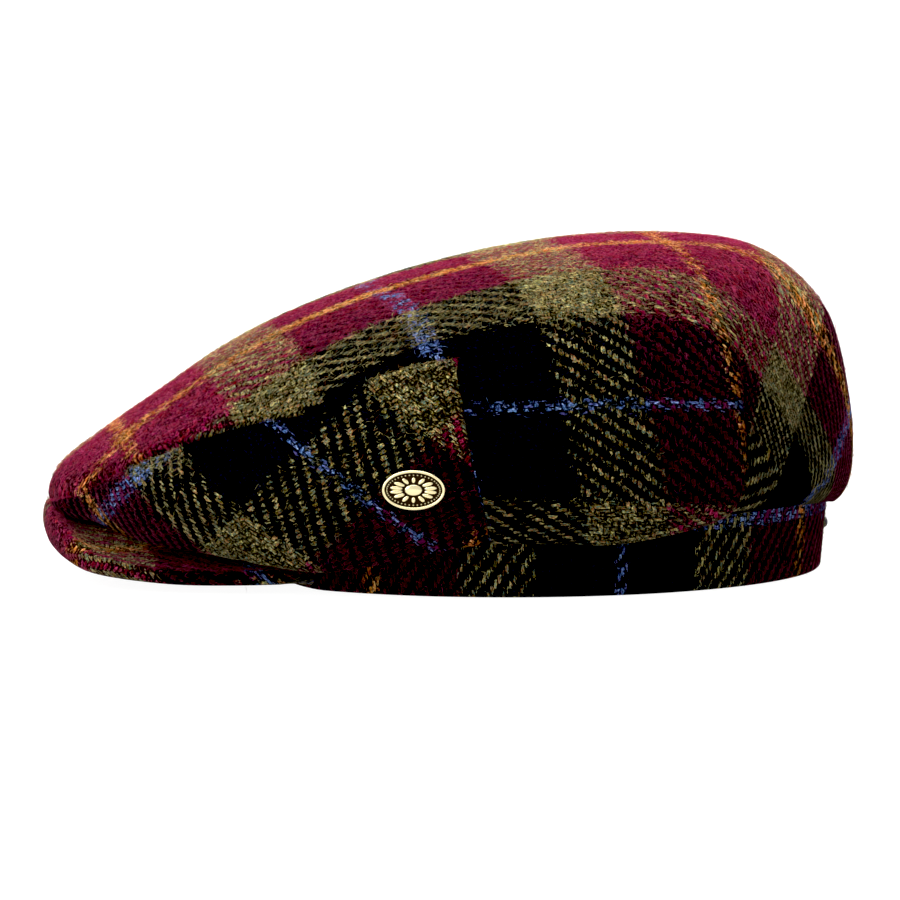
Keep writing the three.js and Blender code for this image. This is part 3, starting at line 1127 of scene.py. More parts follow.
@dataclass
class TopPanel(ClothPiece):
    """The top panel: a lip over the peak, the top, and the sides and back behind the side panels."""

    node: str = "crown_top"
    hairs: int = 33000
    hair_seeds: tuple[int, ...] = (9, 10, 11)
    swell: float = 0.45
    swell_lengths: tuple[float, ...] = (42.0, 13.0)
    # Columns from the front to the corner, the heel, a dart and the back, and the angles beside a dart
    columns: tuple[int, int, int, int] = (56, 26, 30, 46)
    beside_dart: tuple[float, ...] = (0.22, 0.45, 0.75, 1.15, 1.7, 2.5, 3.5)
    dart_room: float = 5.0
    rows: int = 60
    inner_rows: int = 26
    samples: int = 240
    near_edge: tuple[float, ...] = (8.0, 6.5, 5.2, 4.1, 3.2, 2.4, 1.8, 1.3, 0.9)
    least_slant: float = 0.3
    hem: float = 0.6
    # Sewn edge: distance from the edge and depth; past the edge it lies behind the next panel
    allowance: Profile = (
        (0.6, 0), (0.2, 0.13), (0, 0.5), (0, 2.7), (-4, 2.8), (-4, 3.4), (1.5, 3.4),
    )
    sewn_angles: Span = (14.0, 24.0)
    groove: float = 0.4
    groove_width: float = 1.5
    groove_angles: Span = (16.0, 30.0)
    # The lip: how full, rolled and low it is, and where
    lip: float = 1.6
    lip_inset: float = 3.0
    lip_width: float = 7.0
    lip_roll: float = 1.7
    roll_width: float = 1.8
    lip_angles: Span = (20.0, 46.0)
    lip_drop: float = 3.6
    drop_angles: Span = (12.0, 30.0)
    crease: float = 1.3
    crease_width: float = 1.1
    dip: float = 1.0
    dip_width: float = 7.0
    dart_rows: Span = (4.3, 6.0)

    def stations(self) -> tuple[Array, Array]:
        """Angles of the panel's columns.

        Returns:
            The angles from the back round the right side, the front and the left side to the back, and
            whether each lies behind its dart. Each dart has a column for either side of it.
        """
        form = self.form
        beside = np.array(self.beside_dart)
        to_corner, to_heel, to_dart, to_back = self.columns
        half = np.concatenate(
            [
                np.linspace(0, form.corner, to_corner),
                np.linspace(form.corner, form.heel, to_heel)[1:],
                np.linspace(form.heel, form.dart - self.dart_room, to_dart)[1:],
                form.dart - beside[::-1],
                [form.dart, form.dart],
                form.dart + beside,
                np.linspace(form.dart + self.dart_room, BACK, to_back),
            ]
        )
        behind = half > form.dart
        behind[np.flatnonzero(half == form.dart)[1]] = True
        angles = np.concatenate([-half[::-1], half[1:]])
        return angles, np.concatenate([behind[::-1], behind[1:]])

    def section(self, angle: Array) -> tuple[Array, Array]:
        """Rows and depths down each column: over the outer face, round the edge and back up inside.

        Args:
            angle: the columns' angles.
        Returns:
            Row and depth by column and step.
        """
        form = self.form
        end = form.top_end(angle)
        dense = np.linspace(0, 1, self.samples)
        points = form.crown(angle[:, None], end[:, None] * dense)
        to_edge = run_along(points[:, ::-1])[:, ::-1]

        # A column that meets the edge at a slant has its rows further apart
        turn, near = 0.1, -4
        before, after = (form.crown(a, form.top_end(a)) for a in (angle - turn, angle + turn))
        down = points[:, -1] - points[:, near]
        per_row = np.linalg.norm(down, axis=-1) / (end * (dense[-1] - dense[near]))
        unit = [v / np.linalg.norm(v, axis=-1, keepdims=True) for v in (after - before, down)]
        slant = np.linalg.norm(np.cross(*unit), axis=-1).clip(self.least_slant, 1)

        hem = hem_section(form.cloth, self.hem)
        sewn = ramp(*self.sewn_angles, np.abs(angle)) * (np.abs(angle) < form.heel)
        rim = hem + sewn[:, None, None] * (np.array(self.allowance) - hem)
        outer = self.rows + len(self.near_edge)
        row = np.empty((len(angle), outer + len(hem) + self.inner_rows))
        depth = np.full_like(row, form.cloth)
        depth[:, :outer] = 0
        depth[:, outer : outer + len(hem)] = rim[..., 1]
        for k, reach in enumerate(to_edge):
            close = np.concatenate([self.near_edge, rim[k, :, 0]]) / slant[k]
            far = np.linspace(reach[0], close[0], self.rows, endpoint=False)
            back = np.linspace(reach[0], close[-1], self.inner_rows, endpoint=False)[::-1]
            at = np.concatenate([far, close, back])
            row[k] = np.interp(-at, -reach, dense * end[k]) + np.maximum(-at, 0) / per_row[k]
        return np.minimum(row, form.lower_row), depth

    def build(self) -> bpy.types.Object:
        """Makes the panel.

        Returns:
            The piece.
        """
        form = self.form
        angle, behind = self.stations()
        row, depth = self.section(angle)
        angle = angle[:, None] + 0 * row
        turn = np.abs(angle)
        behind = behind[:, None] & (row >= 0)
        point = form.crown(angle, row)
        edge_line = form.crown(angle[:, 0], form.top_end(angle[:, 0]))
        to_edge = np.empty(row.shape)
        for k in range(row.shape[1]):
            to_edge[:, k] = np.linalg.norm(point[:, None, k] - edge_line[None], axis=-1).min(1)
        out = self.swells(point)
        out -= self.groove * np.exp(-to_edge / self.groove_width) * ramp(*self.groove_angles, turn)
        front = 1 - ramp(*self.lip_angles, turn)
        out += self.lip * front * bell(to_edge - self.lip_inset, self.lip_width)
        out -= self.lip_roll * front * bell(to_edge, self.roll_width)
        point[..., 2] -= self.lip_drop * (1 - ramp(*self.drop_angles, turn)) * bell(to_edge, self.lip_width)
        per_degree = np.linalg.norm(form.crown(angle + 0.5, row) - form.crown(angle - 0.5, row), axis=-1)
        from_dart = np.abs(turn - form.dart) * per_degree
        pull = self.crease * np.exp(-from_dart / self.crease_width)
        pull += self.dip * bell(from_dart, self.dip_width)
        out -= ramp(*self.dart_rows, row) * pull
        place = point + form.normal(angle, row) * (out - depth)[..., None]
        return self.sew(place, self.lay.top(angle, row, behind))


@dataclass
class SidePanel(ClothPiece):
    """A front side panel, from the middle of the front to its heel, turned in under its lower edge."""

    side: Side = Side.LEFT
    slot: str = "tweed_side"
    swell: float = 0.35
    swell_lengths: tuple[float, ...] = (38.0, 12.0)
    columns: tuple[int, int] = (64, 24)
    end_columns: tuple[float, ...] = (0.0, 0.04, 0.15, 0.33, 0.6)
    end_room: float = 0.9
    rows: int = 46
    samples: int = 200
    hem: float = 0.6
    groove: float = 0.3
    groove_width: float = 1.5
    # The front: how far its seam lies in, and how far it fills out and sinks under the lip
    front_inset: float = 0.6
    inset_angles: Span = (25.0, 60.0)
    inset_rows: float = 1.5
    front_fill: float = 2.6
    front_sink: float = 2.4
    front_angles: Span = (4.0, 22.0)

    def stations(self) -> tuple[Array, Array]:
        """Places of the panel's columns.

        Returns:
            Their angles, and the share of the wall's thickness at each.
        """
        form = self.form
        first, last = form.gap / 2, form.heel - form.heel_cut
        ends = np.array(self.end_columns)
        to_corner, to_heel = self.columns
        angles = np.concatenate(
            [
                first + ends,
                np.linspace(first + self.end_room, form.corner, to_corner),
                np.linspace(form.corner, last - self.end_room, to_heel)[1:],
                last - ends[::-1],
            ]
        )
        return angles, rounded(np.minimum(angles - first, last - angles) / ends[-1])

    def build(self) -> bpy.types.Object:
        """Makes the panel.

        Returns:
            The piece.
        """
        form = self.form
        angle, thick = self.stations()
        start = form.side_start(angle)
        hem = hem_section(form.cloth, self.hem)
        inner = np.full(self.rows, form.cloth)
        depth = np.concatenate([hem[::-1, 1], 0 * inner, inner, hem[-1:, 1]])
        row = np.empty((len(angle), len(depth)))
        out = np.empty_like(row)
        dense = np.linspace(0, 1, self.samples)
        for k, first in enumerate(start):
            rows = first + (form.lower_row + 1 - first) * dense
            run = run_along(form.crown(np.full_like(rows, angle[k]), rows))
            far = hem[0, 0] + (run[-1] - hem[0, 0]) * np.linspace(0, 1, self.rows + 1)[1:]
            reach = np.concatenate([hem[::-1, 0], far, far[::-1], hem[-1:, 0]])
            row[k] = np.interp(reach, run, rows)
            out[k] = -self.groove * np.exp(-reach / self.groove_width)
        angles = angle[:, None] + 0 * row
        point = form.crown(self.side.value * angles, row)
        out += self.swells(point)
        to_seam = np.abs(row - start[:, None])
        out -= self.front_inset * (1 - ramp(*self.inset_angles, angles)) * np.exp(-to_seam / self.inset_rows)
        middle = form.cloth / 2
        deep = middle + (depth - middle) * thick[:, None]
        place = point + form.normal(self.side.value * angles, row) * (out - deep)[..., None]
        front = 1 - ramp(*self.front_angles, angles)
        place[..., 0] -= self.front_fill * front
        place[..., 2] -= self.front_sink * front
        return self.sew(place, self.lay.side(angles, row, self.side))


@dataclass
class Headband(ClothPiece):
    """The band: an oval ring with rounded edges."""

    node: str = "headband"
    slot: str = "tweed_band"
    hairs: int = 4000
    hair_seeds: tuple[int, ...] = (17,)
    swell: float = 0.25
    swell_lengths: tuple[float, ...] = (30.0,)
    wall: float = 3.0
    # How much taller it is at the rear, where the crown hides it
    hidden: float = 7.0
    hidden_angles: Span = (85.0, 115.0)
    columns: int = 240
    rows: int = 12

    def build(self) -> bpy.types.Object:
        """Makes the ring.

        Returns:
            The piece.
        """
        form = self.form
        hem = hem_section(self.wall, self.wall / 2)
        angle = np.linspace(0, 360, self.columns + 1)[:, None]
        signed = (angle + BACK) % 360 - BACK
        rim = form.rim_height(signed)
        tall = form.band_height - rim / 2 + self.hidden * ramp(*self.hidden_angles, np.abs(signed))
        level = np.linspace(0, 1, self.rows)
        face = hem[0, 0] + (tall - 2 * hem[0, 0]) * level
        bend = hem[1:-1, 0] + 0 * angle
        rise = np.concatenate([face, tall - bend, face[:, ::-1], bend[:, ::-1], face[:, :1]], axis=1)
        depth = hem[1:-1, 1]
        inset = np.concatenate([0 * level, depth, 0 * level + self.wall, depth[::-1], [0.0]])
        height = rim + rise
        angles = angle + 0 * height
        out = self.swells(form.band_point(angles, height))
        place = form.band_point(angles, height, out - inset)
        return self.sew(place, self.lay.band(angles, height))


@dataclass
class Peak(ClothPiece):
    """The peak: a stiff blade covered in cloth on both faces, with a rounded edge."""

    node: str = "peak"
    hair_seeds: tuple[int, ...] = (19,)
    hollow: float | None = None
    swell: float = 0.2
    swell_lengths: tuple[float, ...] = (25.0,)
    x: float = -58.0
    reach: float = 80.2
    half_width: float = 65.0
    squareness: float = 2.5
    thickness: float = 5.0
    edge_thickness: float = 4.6
    end_thickness: float = 0.3
    thin_share: Span = (0.8, 1.0)
    # Padding of the nose under the lip
    nose: float = 7.2
    nose_width: float = 0.36
    nose_share: Span = (0.8, 0.97)
    root_end: float = 44.0
    root_lift: float = 1.5
    camber: float = 0.5
    rounding: float = 0.035
    # Angle around the outline and height of the lower face
    edge: Profile = (
        (0, 12.6), (8, 10.8), (20, 8.0), (35, 4.6), (50, 3.2), (70, 2.3), (90, 2.8),
    )
    columns: int = 120
    columns_end: float = 0.955
    end_columns: tuple[float, ...] = (0.0, 0.002, 0.008, 0.018, 0.03)
    rows: int = 30
    edge_rows: int = 11

    def blade(self, turn: Array, share: Array) -> Array:
        """Points on the lower face.

        Args:
            turn: place across the peak, from -1 at its right end to 1 at its left end.
            share: place from the band to the outline.
        Returns:
            The points.
        """
        form = self.form
        root_angle = turn * self.root_end
        root_top = form.rim_height(root_angle) + self.root_lift + self.thickness
        root = form.band_point(root_angle, root_top, form.gap)
        root[..., 2] -= self.thickness
        a = np.radians(turn * 90)
        power = 2 / self.squareness
        x = self.x - self.reach * np.cos(a) ** power
        y = -self.half_width * np.sign(np.sin(a)) * np.abs(np.sin(a)) ** power
        rim = np.stack([x, y, curve(self.edge, np.abs(turn) * 90)], -1)
        point = root + (rim - root) * share[..., None]
        point[..., 2] += self.camber * np.sin(share * np.pi)
        return point

    def build(self) -> bpy.types.Object:
        """Makes the peak.

        Returns:
            The piece.
        """
        face = (1 - self.rounding) * np.linspace(0, 1, self.rows)
        bend = np.radians(np.linspace(90, -90, self.edge_rows))[1:-1]
        share = np.concatenate([face, 1 - self.rounding * (1 - np.cos(bend)), face[::-1], face[:1]])
        rise = np.concatenate([1 + 0 * face, 0.5 + 0.5 * np.sin(bend), 0 * face, [1.0]])
        ends = 1 - np.array(self.end_columns)
        inner = np.linspace(-self.columns_end, self.columns_end, self.columns)
        turn = np.concatenate([-ends, inner, ends[::-1]])
        taper = rounded((1 - np.abs(turn)) / self.end_columns[-1])
        turn, share = np.meshgrid(turn, share, indexing="ij")
        point = self.blade(turn, share)
        thick = self.thickness + (self.edge_thickness - self.thickness) * ramp(*self.thin_share, share)
        thick = self.end_thickness + (thick - self.end_thickness) * taper[:, None]
        point[..., 2] += (self.thickness - thick) / 2 + rise * thick
        point[..., 2] += rise * self.nose * bell(turn, self.nose_width) * ramp(*self.nose_share, share)
        point[..., 2] += self.swells(point)
        return self.sew(point, self.lay.peak(point))


@dataclass(frozen=True)
class WoolHair:
    """Loose ends of wool that curl over the cloth, each a thin bent spindle in the colour of its root.

    A spindle stands for a few fibres, so that it is thick enough to show.
    """

    seed: int
    number: int
    shortest: float = 0.9
    longest: float = 3.0
    radius: float = 0.055
    rise: Span = (0.1, 0.5)
    tip_rise: Span = (-0.2, 0.3)
    curl: float = 1.1
    sunk: float = 0.06
    # Share of hairs left on worn slopes, the slopes over which it grows to all, and the last slope with any
    worn: float = 0.04
    upright: Span = (0.5, 0.9)
    steepest: float = -0.5
    # Corners of a spindle: root, three round the bend, tip
    spindle: int = 5
    faces: tuple[tuple[int, int, int], ...] = (
        (0, 2, 1), (0, 3, 2), (0, 1, 3), (1, 2, 4), (2, 3, 4), (3, 1, 4),
    )

    def roots(
        self, mesh: bpy.types.Mesh, middle: Array | None, rng: np.random.Generator
    ) -> tuple[Array, Array, Array]:
        """Picks where the hairs grow.

        Args:
            mesh: the cloth.
            middle: a point inside the cap, so that no hair grows on the inner face; None for both faces.
            rng: the source of chance.
        Returns:
            Points, outward directions and cloth coordinates.
        """
        mesh.calc_loop_triangles()
        count = len(mesh.loop_triangles)
        corners = np.empty(3 * count, np.int32)
        loops = np.empty(3 * count, np.int32)
        mesh.loop_triangles.foreach_get("vertices", corners)
        mesh.loop_triangles.foreach_get("loops", loops)
        points = np.empty(3 * len(mesh.vertices), np.float32)
        mesh.vertices.foreach_get("co", points)
        layer = np.empty(2 * len(mesh.loops), np.float32)
        mesh.uv_layers[CLOTH_MAP].uv.foreach_get("vector", layer)
        triangle = points.reshape(-1, 3)[corners].reshape(-1, 3, 3)
        cloth = layer.reshape(-1, 2)[loops].reshape(-1, 3, 2)
        normal = np.cross(triangle[:, 1] - triangle[:, 0], triangle[:, 2] - triangle[:, 0])
        area = np.linalg.norm(normal, axis=-1)
        weight = area.copy()
        if middle is not None:
            weight *= ((triangle.mean(1) - middle) * normal).sum(-1) > 0
        upward = normal[:, 2] / np.maximum(area, TINY**2)
        weight *= (upward > self.steepest) * (self.worn + (1 - self.worn) * ramp(*self.upright, upward))
        pick = rng.choice(count, self.number, p=weight / weight.sum())
        share = rng.dirichlet((1, 1, 1), self.number)[..., None]
        out = normal[pick] / area[pick, None]
        return (triangle[pick] * share).sum(1), out, (cloth[pick] * share).sum(1)

    def build(self, name: str, cloth: bpy.types.Object, middle: Array | None) -> bpy.types.Object:
        """Makes the hairs of a piece of cloth as one mesh.

        Args:
            name: the new piece's name.
            cloth: the piece they grow on, whose material they share.
            middle: see roots.
        Returns:
            The hairs.
        """
        rng = np.random.default_rng(self.seed)
        each = (self.number, 1)
        root, out, place = self.roots(cloth.data, middle, rng)
        side = np.cross(out, rng.normal(size=root.shape))
        side /= np.linalg.norm(side, axis=-1, keepdims=True)
        across = np.cross(out, side)
        turn = across * rng.uniform(-self.curl, self.curl, each)
        half = rng.uniform(self.shortest, self.longest, each) / 2 * MM
        bend = root + half * (side + rng.uniform(*self.rise, each) * out)
        tip = bend + half * (side + turn + rng.uniform(*self.tip_rise, each) * out)
        ring = [
            bend + self.radius * MM * (math.cos(a) * across + math.sin(a) * out)
            for a in np.radians((90, 210, 330))
        ]
        points = np.stack([root - self.sunk * MM * out, *ring, tip], 1)
        # Hairs at the rim bend up off the table
        points[..., 2] = np.abs(points[..., 2])
        corners = np.array(self.faces)[None] + self.spindle * np.arange(self.number)[:, None, None]
        mesh = bpy.data.meshes.new(name)
        mesh.vertices.add(self.spindle * self.number)
        mesh.vertices.foreach_set("co", points.astype(np.float32).ravel())
        mesh.loops.add(corners.size)
        mesh.loops.foreach_set("vertex_index", corners.astype(np.int32).ravel())
        mesh.polygons.add(corners.size // 3)
        mesh.polygons.foreach_set("loop_start", np.arange(0, corners.size, 3, dtype=np.int32))
        layer = mesh.uv_layers.new(name=CLOTH_MAP)
        at_loops = np.repeat(place, 3 * len(self.faces), axis=0)
        layer.uv.foreach_set("vector", at_loops.astype(np.float32).ravel())
        loose = mesh.attributes.new(LOOSE, "FLOAT", "POINT")
        loose.data.foreach_set("value", np.ones(len(mesh.vertices), np.float32))
        mesh.update(calc_edges=True)
        mesh.shade_smooth()
        hairs = add_object(name, mesh)
        mesh.materials.append(cloth.data.materials[0])
        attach(hairs, BODY)
        return hairs


@dataclass(frozen=True)
class CastBrass(Finish):
    """Antiqued brass: pale and polished where it stands up, brown and dull in the hollows."""

    name: str = "antiqued_brass"
    polished: str = "#eee0b2"
    patina: str = "#2e2010"
    bright: float = 0.22
    dull: float = 0.65
    # The grain of the casting, drawn as coarse as it needs to show
    grain: float = 0.4
    grain_share: float = 0.5
    polish: Span = (0.45, 0.95)

    def look(self, tree: Tree) -> dict[str, object]:
        """Adds the brass's nodes, which read how far each point stands up.

        Args:
            tree: the material's nodes.
        Returns:
            The inputs of its shader.
        """
        add = partial(add_node, tree)
        raised = add("Attribute", attribute_name=RAISED)["Fac"]
        grain = self.patches(tree, self.grain)
        worn = add("Math", grain, self.grain_share, raised, operation="MULTIPLY_ADD")[0]
        worn = add("MapRange", worn, *self.polish)[0]
        shades = {0: worn, 6: linear(self.patina), 7: linear(self.polished)}
        colour = add("Mix", inputs=shades, data_type="RGBA")[2]
        rough = add("MapRange", worn, 0.0, 1.0, self.dull, self.bright)[0]
        return {"Base Color": colour, "Metallic": 1.0, "Roughness": rough}


@dataclass(frozen=True)
class WornMetal(Finish):
    """Plain metal with a fine unevenness in its gloss, such as bright nickel plate or dark enamel."""

    shade: str
    metallic: float
    rough: float
    rough_span: Span = (0.7, 1.3)
    # Handling marks, drawn as coarse as they need to show
    grain: float = 0.6

    def look(self, tree: Tree) -> dict[str, object]:
        """Adds the metal's nodes, and returns the inputs of its shader."""
        low, high = (self.rough * share for share in self.rough_span)
        rough = add_node(tree, "MapRange", self.patches(tree, self.grain), 0.0, 1.0, low, high)[0]
        return {"Base Color": linear(self.shade), "Metallic": self.metallic, "Roughness": rough}


def spun(bm: bmesh.types.BMesh, profile: Profile, steps: int) -> None:
    """Spins a profile round Z into a closed solid.

    Args:
        bm: the mesh that gets it, in millimetres.
        profile: radius and height of each point.
        steps: steps round the axis.
    """
    verts = [bm.verts.new((radius, 0, height)) for radius, height in profile]
    edges = [bm.edges.new(pair) for pair in zip(verts, verts[1:])]
    axis = {"cent": (0, 0, 0), "axis": (0, 0, 1), "dvec": (0, 0, 0)}
    bmesh.ops.spin(bm, geom=verts + edges, **axis, angle=math.tau, steps=steps, use_merge=True)
    bmesh.ops.remove_doubles(bm, verts=bm.verts, dist=WELD / MM)


def lump(bm: bmesh.types.BMesh, place: Matrix, size: tuple[float, ...], steps: tuple[int, int]) -> None:
    """Adds a rounded lump.

    Args:
        bm: the mesh that gets it.
        place: where its middle is, and how it is turned.
        size: its three half sizes.
        steps: steps round it and from pole to pole.
    """
    form = place @ Matrix.Diagonal((*size, 1))
    bmesh.ops.create_uvsphere(bm, u_segments=steps[0], v_segments=steps[1], radius=1, matrix=form)


@dataclass
class Metalwork(CapPiece):
    """A small metal piece."""

    sharp: float = 50.0

    def set_on(self, bm: bmesh.types.BMesh, seat: Matrix) -> bpy.types.Object:
        """Makes the piece of a mesh in millimetres, and sets it on its seat.

        Args:
            bm: the mesh.
            seat: the seat's frame, in metres.
        Returns:
            The piece.
        """
        bmesh.ops.scale(bm, vec=(MM, MM, MM), verts=bm.verts)
        bmesh.ops.recalc_face_normals(bm, faces=bm.faces)
        for face in bm.faces:
            face.smooth = True
        bmesh.ops.transform(bm, matrix=seat, verts=bm.verts)
        name = f"{self.node}_metal"
        mesh = bpy.data.meshes.new(name)
        bm.to_mesh(mesh)
        bm.free()
        mesh.set_sharp_from_angle(angle=math.radians(self.sharp))
        return self.dress(name, mesh)


@dataclass
class Badge(Metalwork):
    """The oval badge: a raised rim round a sunk field with beads, petals and a low dome, and its pin."""

    node: str = "badge"
    slot: str = "brass"
    half_length: float = 10.3
    half_width: float = 6.5
    columns: int = 96
    even: float = 2.0
    weld: float = 1e-3
    # Distance in from the outline and height: the back, the rim and the field
    section: Profile = (
        (6.5, 0.0), (0.5, 0.0), (0.1, 0.15), (0.0, 0.5), (0.0, 1.1), (0.12, 1.42), (0.4, 1.6), (0.7, 1.55),
        (0.92, 1.3), (1.0, 0.75), (1.5, 0.7), (6.5, 0.72),
    )
    field_height: float = 0.7
    polished: Span = (0.85, 1.3)
    beads: int = 44
    bead_inset: float = 1.62
    bead: float = 0.4
    bead_steps: tuple[int, int] = (12, 8)
    petals: int = 14
    petal_width: float = 0.72
    petal_height: float = 0.68
    petal_inset: float = 2.17
    petal_start: float = 1.12
    petal_steps: tuple[int, int] = (20, 10)
    dome: tuple[float, float, float] = (3.0, 1.9, 0.86)
    dome_steps: tuple[int, int] = (40, 16)
    pin_radius: float = 0.6
    pin_length: float = 6.4
    pin_sunk: float = 0.2
    pin_steps: int = 20

    def outline(self, turn: float, inset: float) -> Span:
        """Point at a distance in from the oval's edge; far in, it draws to the middle.

        Args:
            turn: angle round the oval.
            inset: the distance.
        Returns:
            X and Y.
        """
        x, y = self.half_length * math.cos(turn), self.half_width * math.sin(turn)
        out = Vector((math.cos(turn) / self.half_length, math.sin(turn) / self.half_width)).normalized()
        near = min(inset, self.even)
        left = 1 - max(inset - self.even, 0) / (self.half_width - self.even)
        return (x - out.x * near) * left, (y - out.y * near) * left

    def relief(self, bm: bmesh.types.BMesh) -> None:
        """Adds the beads, the petals and the dome.

        Args:
            bm: the mesh that gets them.
        """
        for k in range(self.beads):
            x, y = self.outline(math.tau * k / self.beads, self.bead_inset)
            lump(bm, Matrix.Translation((x, y, self.field_height)), (self.bead,) * 3, self.bead_steps)
        for k in range(self.petals):
            turn = math.tau * (k + 0.5) / self.petals
            outer = Vector(self.outline(turn, self.petal_inset))
            inner = Vector((self.dome[0] * math.cos(turn), self.dome[1] * math.sin(turn))) * self.petal_start
            run = outer - inner
            place = Matrix.Translation((*((outer + inner) / 2), self.field_height))
            place = place @ Matrix.Rotation(math.atan2(run.y, run.x), 4, "Z")
            lump(bm, place, (run.length / 2, self.petal_width, self.petal_height), self.petal_steps)
        lump(bm, Matrix.Translation((0, 0, self.field_height)), self.dome, self.dome_steps)

    def build(self) -> bpy.types.Object:
        """Makes the badge.

        Returns:
            The piece.
        """
        bm = bmesh.new()
        last = len(self.section) - 1
        for vert in bmesh.ops.create_grid(bm, x_segments=self.columns, y_segments=last, size=0.5)["verts"]:
            inset, height = self.section[round((vert.co.y + 0.5) * last)]
            vert.co = (*self.outline((vert.co.x + 0.5) * math.tau, inset), height)
        bmesh.ops.remove_doubles(bm, verts=bm.verts, dist=self.weld)
        self.relief(bm)
        bmesh.ops.create_cone(
            bm,
            cap_ends=True,
            segments=self.pin_steps,
            radius1=self.pin_radius / 2,
            radius2=self.pin_radius,
            depth=self.pin_length,
            matrix=Matrix.Translation((0, 0, self.pin_sunk - self.pin_length / 2)),
        )
        layer = bm.verts.layers.float.new(RAISED)
        for vert in bm.verts:
            vert[layer] = float(ramp(*self.polished, vert.co.z))
        return self.set_on(bm, self.form.badge_seat())


@dataclass
class Clutch(Metalwork):
    """The clutch behind the badge: a stamped disc with a raised cup and two wings to squeeze."""

    node: str = "badge_clutch"
    slot: str = "nickel"
    profile: Profile = (
        (0.95, -3.65), (5.2, -3.65), (5.5, -3.85), (5.5, -4.05), (5.2, -4.25), (3.5, -4.4), (3.15, -4.6),
        (3.05, -6.0), (2.8, -6.4), (2.3, -6.65), (1.3, -6.65), (0.95, -6.4), (0.95, -3.65),
    )
    steps: int = 48
    wing: tuple[float, float, float] = (1.5, 1.5, 0.5)
    wing_place: Span = (3.9, -5.3)
    wing_steps: tuple[int, int] = (20, 10)

    def build(self) -> bpy.types.Object:
        """Makes the clutch.

        Returns:
            The piece.
        """
        bm = bmesh.new()
        spun(bm, self.profile, self.steps)
        x, z = self.wing_place
        for side in Side:
            lump(bm, Matrix.Translation((side.value * x, 0, z)), self.wing, self.wing_steps)
        return self.set_on(bm, self.form.badge_seat())


@dataclass
class Stud(Metalwork):
    """The low stud on the back of the band: a flange with a dome on it."""

    node: str = "back_stud"
    slot: str = "dark_metal"
    height: float = 13.6
    outset: float = 0.525
    profile: Profile = (
        (0.0, 0.0), (2.1, 0.0), (2.2, 0.1), (2.2, 0.3), (2.05, 0.42), (1.9, 0.46), (1.8, 0.75), (1.55, 1.15),
        (1.15, 1.47), (0.6, 1.65), (0.0, 1.7),
    )
    steps: int = 40

    def build(self) -> bpy.types.Object:
        """Makes the stud.

        Returns:
            The piece.
        """
        bm = bmesh.new()
        spun(bm, self.profile, self.steps)
        at = Vector(self.form.band_point(np.array(BACK), np.array(self.height), self.outset))
        return self.set_on(bm, Matrix.Translation(at * MM) @ Matrix.Rotation(math.radians(90), 4, "Y"))


@dataclass(frozen=True)
class PaperSweep(Finish):
    """Matt white studio paper, lit so brightly that almost no shadow is left on it."""

    name: str = "studio_paper"
    shade: str = "#72726f"
    deep: str = "#6c6c6a"
    glow: float = 0.95
    rough: float = 0.95
    patch: float = 400.0
    detail: float = 2.0

    def look(self, tree: Tree) -> dict[str, object]:
        """Adds the paper's nodes.

        Args:
            tree: the material's nodes.
        Returns:
            The inputs of its shader.
        """
        cloud = self.patches(tree, self.patch, self.detail)
        shades = {0: cloud, 6: linear(self.deep), 7: linear(self.shade)}
        return {
            "Base Color": add_node(tree, "Mix", inputs=shades, data_type="RGBA")[2],
            "Roughness": self.rough,
            "Emission Color": (1, 1, 1, 1),
            "Emission Strength": self.glow,
        }


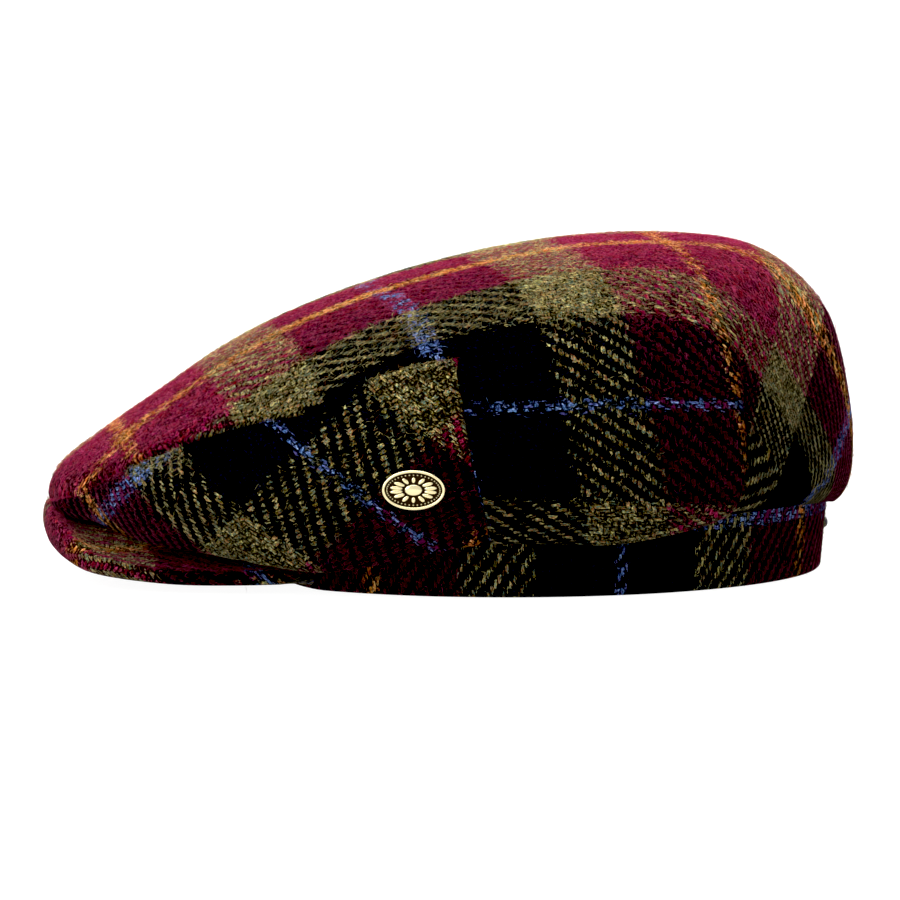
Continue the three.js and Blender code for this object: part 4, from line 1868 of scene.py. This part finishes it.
@dataclass
class Studio:
    """Camera at the photograph's angle, pale floor and soft light from above."""

    target: tuple[float, float, float] = (0.0, 0.0, 39.8)
    azimuth: float = -6.0
    elevation: float = 6.2
    distance: float = 2000.0
    frame_width: float = 306.0
    sensor: float = 36.0
    floor_size: float = 24.0
    floor_drop: float = 0.2
    sky: float = 0.05
    gloss: float = 0.9
    black_level: float = 0.008
    # Strength, spread, tilt from straight down and turn from the wearer's left to the back of each lamp
    lamps: tuple[tuple[float, float, float, float], ...] = (
        (4.0, 70, 17, 200),
        (1.5, 40, 60, -65),
        (1.8, 50, 68, 165),
        (1.2, 120, 140, -20),
        (1.7, 80, 65, 95),
    )

    def camera(self) -> None:
        """Makes the camera."""
        data = bpy.data.cameras.new("camera")
        data.sensor_width = self.sensor
        data.lens = self.sensor * self.distance / self.frame_width
        camera = add_object("camera", data)
        a, e = math.radians(self.azimuth), math.radians(self.elevation)
        back = Vector((math.sin(a) * math.cos(e), -math.cos(a) * math.cos(e), math.sin(e)))
        camera.location = (Vector(self.target) + back * self.distance) * MM
        camera.rotation_euler = back.to_track_quat("Z", "Y").to_euler()
        bpy.context.scene.camera = camera

    def floor(self) -> None:
        """Makes the floor."""
        bm = bmesh.new()
        bmesh.ops.create_grid(bm, x_segments=1, y_segments=1, size=self.floor_size / 2)
        bmesh.ops.translate(bm, verts=bm.verts, vec=(0, 0, -self.floor_drop * MM))
        mesh = bpy.data.meshes.new("floor")
        bm.to_mesh(mesh)
        bm.free()
        floor = add_object("floor", mesh)
        mesh.materials.append(PaperSweep().build())
        floor.visible_diffuse = False
        floor.visible_shadow = False

    def light(self) -> None:
        """Makes the light: a broad key from above, weaker lamps round the cap and below it, and a dim sky."""
        for strength, spread, tilt, turn in self.lamps:
            data = bpy.data.lights.new("lamp", "SUN")
            data.energy = strength
            data.angle = math.radians(spread)
            add_object("lamp", data).rotation_euler = (math.radians(tilt), 0, math.radians(turn))
        world = bpy.data.worlds.new("studio")
        world.use_nodes = True
        tree = world.node_tree
        tree.nodes.clear()
        path = add_node(tree, "LightPath")
        strength = add_node(tree, "MapRange", path["Is Glossy Ray"], 0.0, 1.0, self.sky, self.gloss)[0]
        strength = add_node(tree, "Math", strength, path["Is Camera Ray"], operation="MAXIMUM")[0]
        background = add_node(tree, "Background", (1, 1, 1, 1), strength)[0]
        add_node(tree, "OutputWorld", background)
        bpy.context.scene.world = world
        view = bpy.context.scene.view_settings
        view.view_transform = "Standard"
        view.use_curve_mapping = True
        view.curve_mapping.black_level = [self.black_level] * 3
        view.curve_mapping.update()


def main() -> None:
    """Builds the cap's pieces in order and sets the scene."""
    logging.basicConfig(level=logging.INFO, format="%(message)s")
    studio = Studio()
    studio.camera()
    form = CapForm()
    tweed = WoolTweed().build()
    pieces = [
        TopPanel(form, tweed),
        SidePanel(form, tweed, node="side_panel_left", side=Side.LEFT, hair_seeds=(13,)),
        SidePanel(form, tweed, node="side_panel_right", side=Side.RIGHT, hair_seeds=(15,)),
        Headband(form, tweed),
        Peak(form, tweed),
        Badge(form, CastBrass().build()),
        Clutch(form, WornMetal("nickel_plate", "#b9b8b4", metallic=1.0, rough=0.3).build()),
        Stud(form, WornMetal("dark_enamelled_metal", "#26242a", metallic=0.4, rough=0.4).build()),
    ]
    for piece in pieces:
        for made in piece.make():
            LOG.info("%s: %d faces", made.name, len(made.data.polygons))
    studio.floor()
    studio.light()
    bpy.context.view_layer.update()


if __name__ == "__main__":
    main()
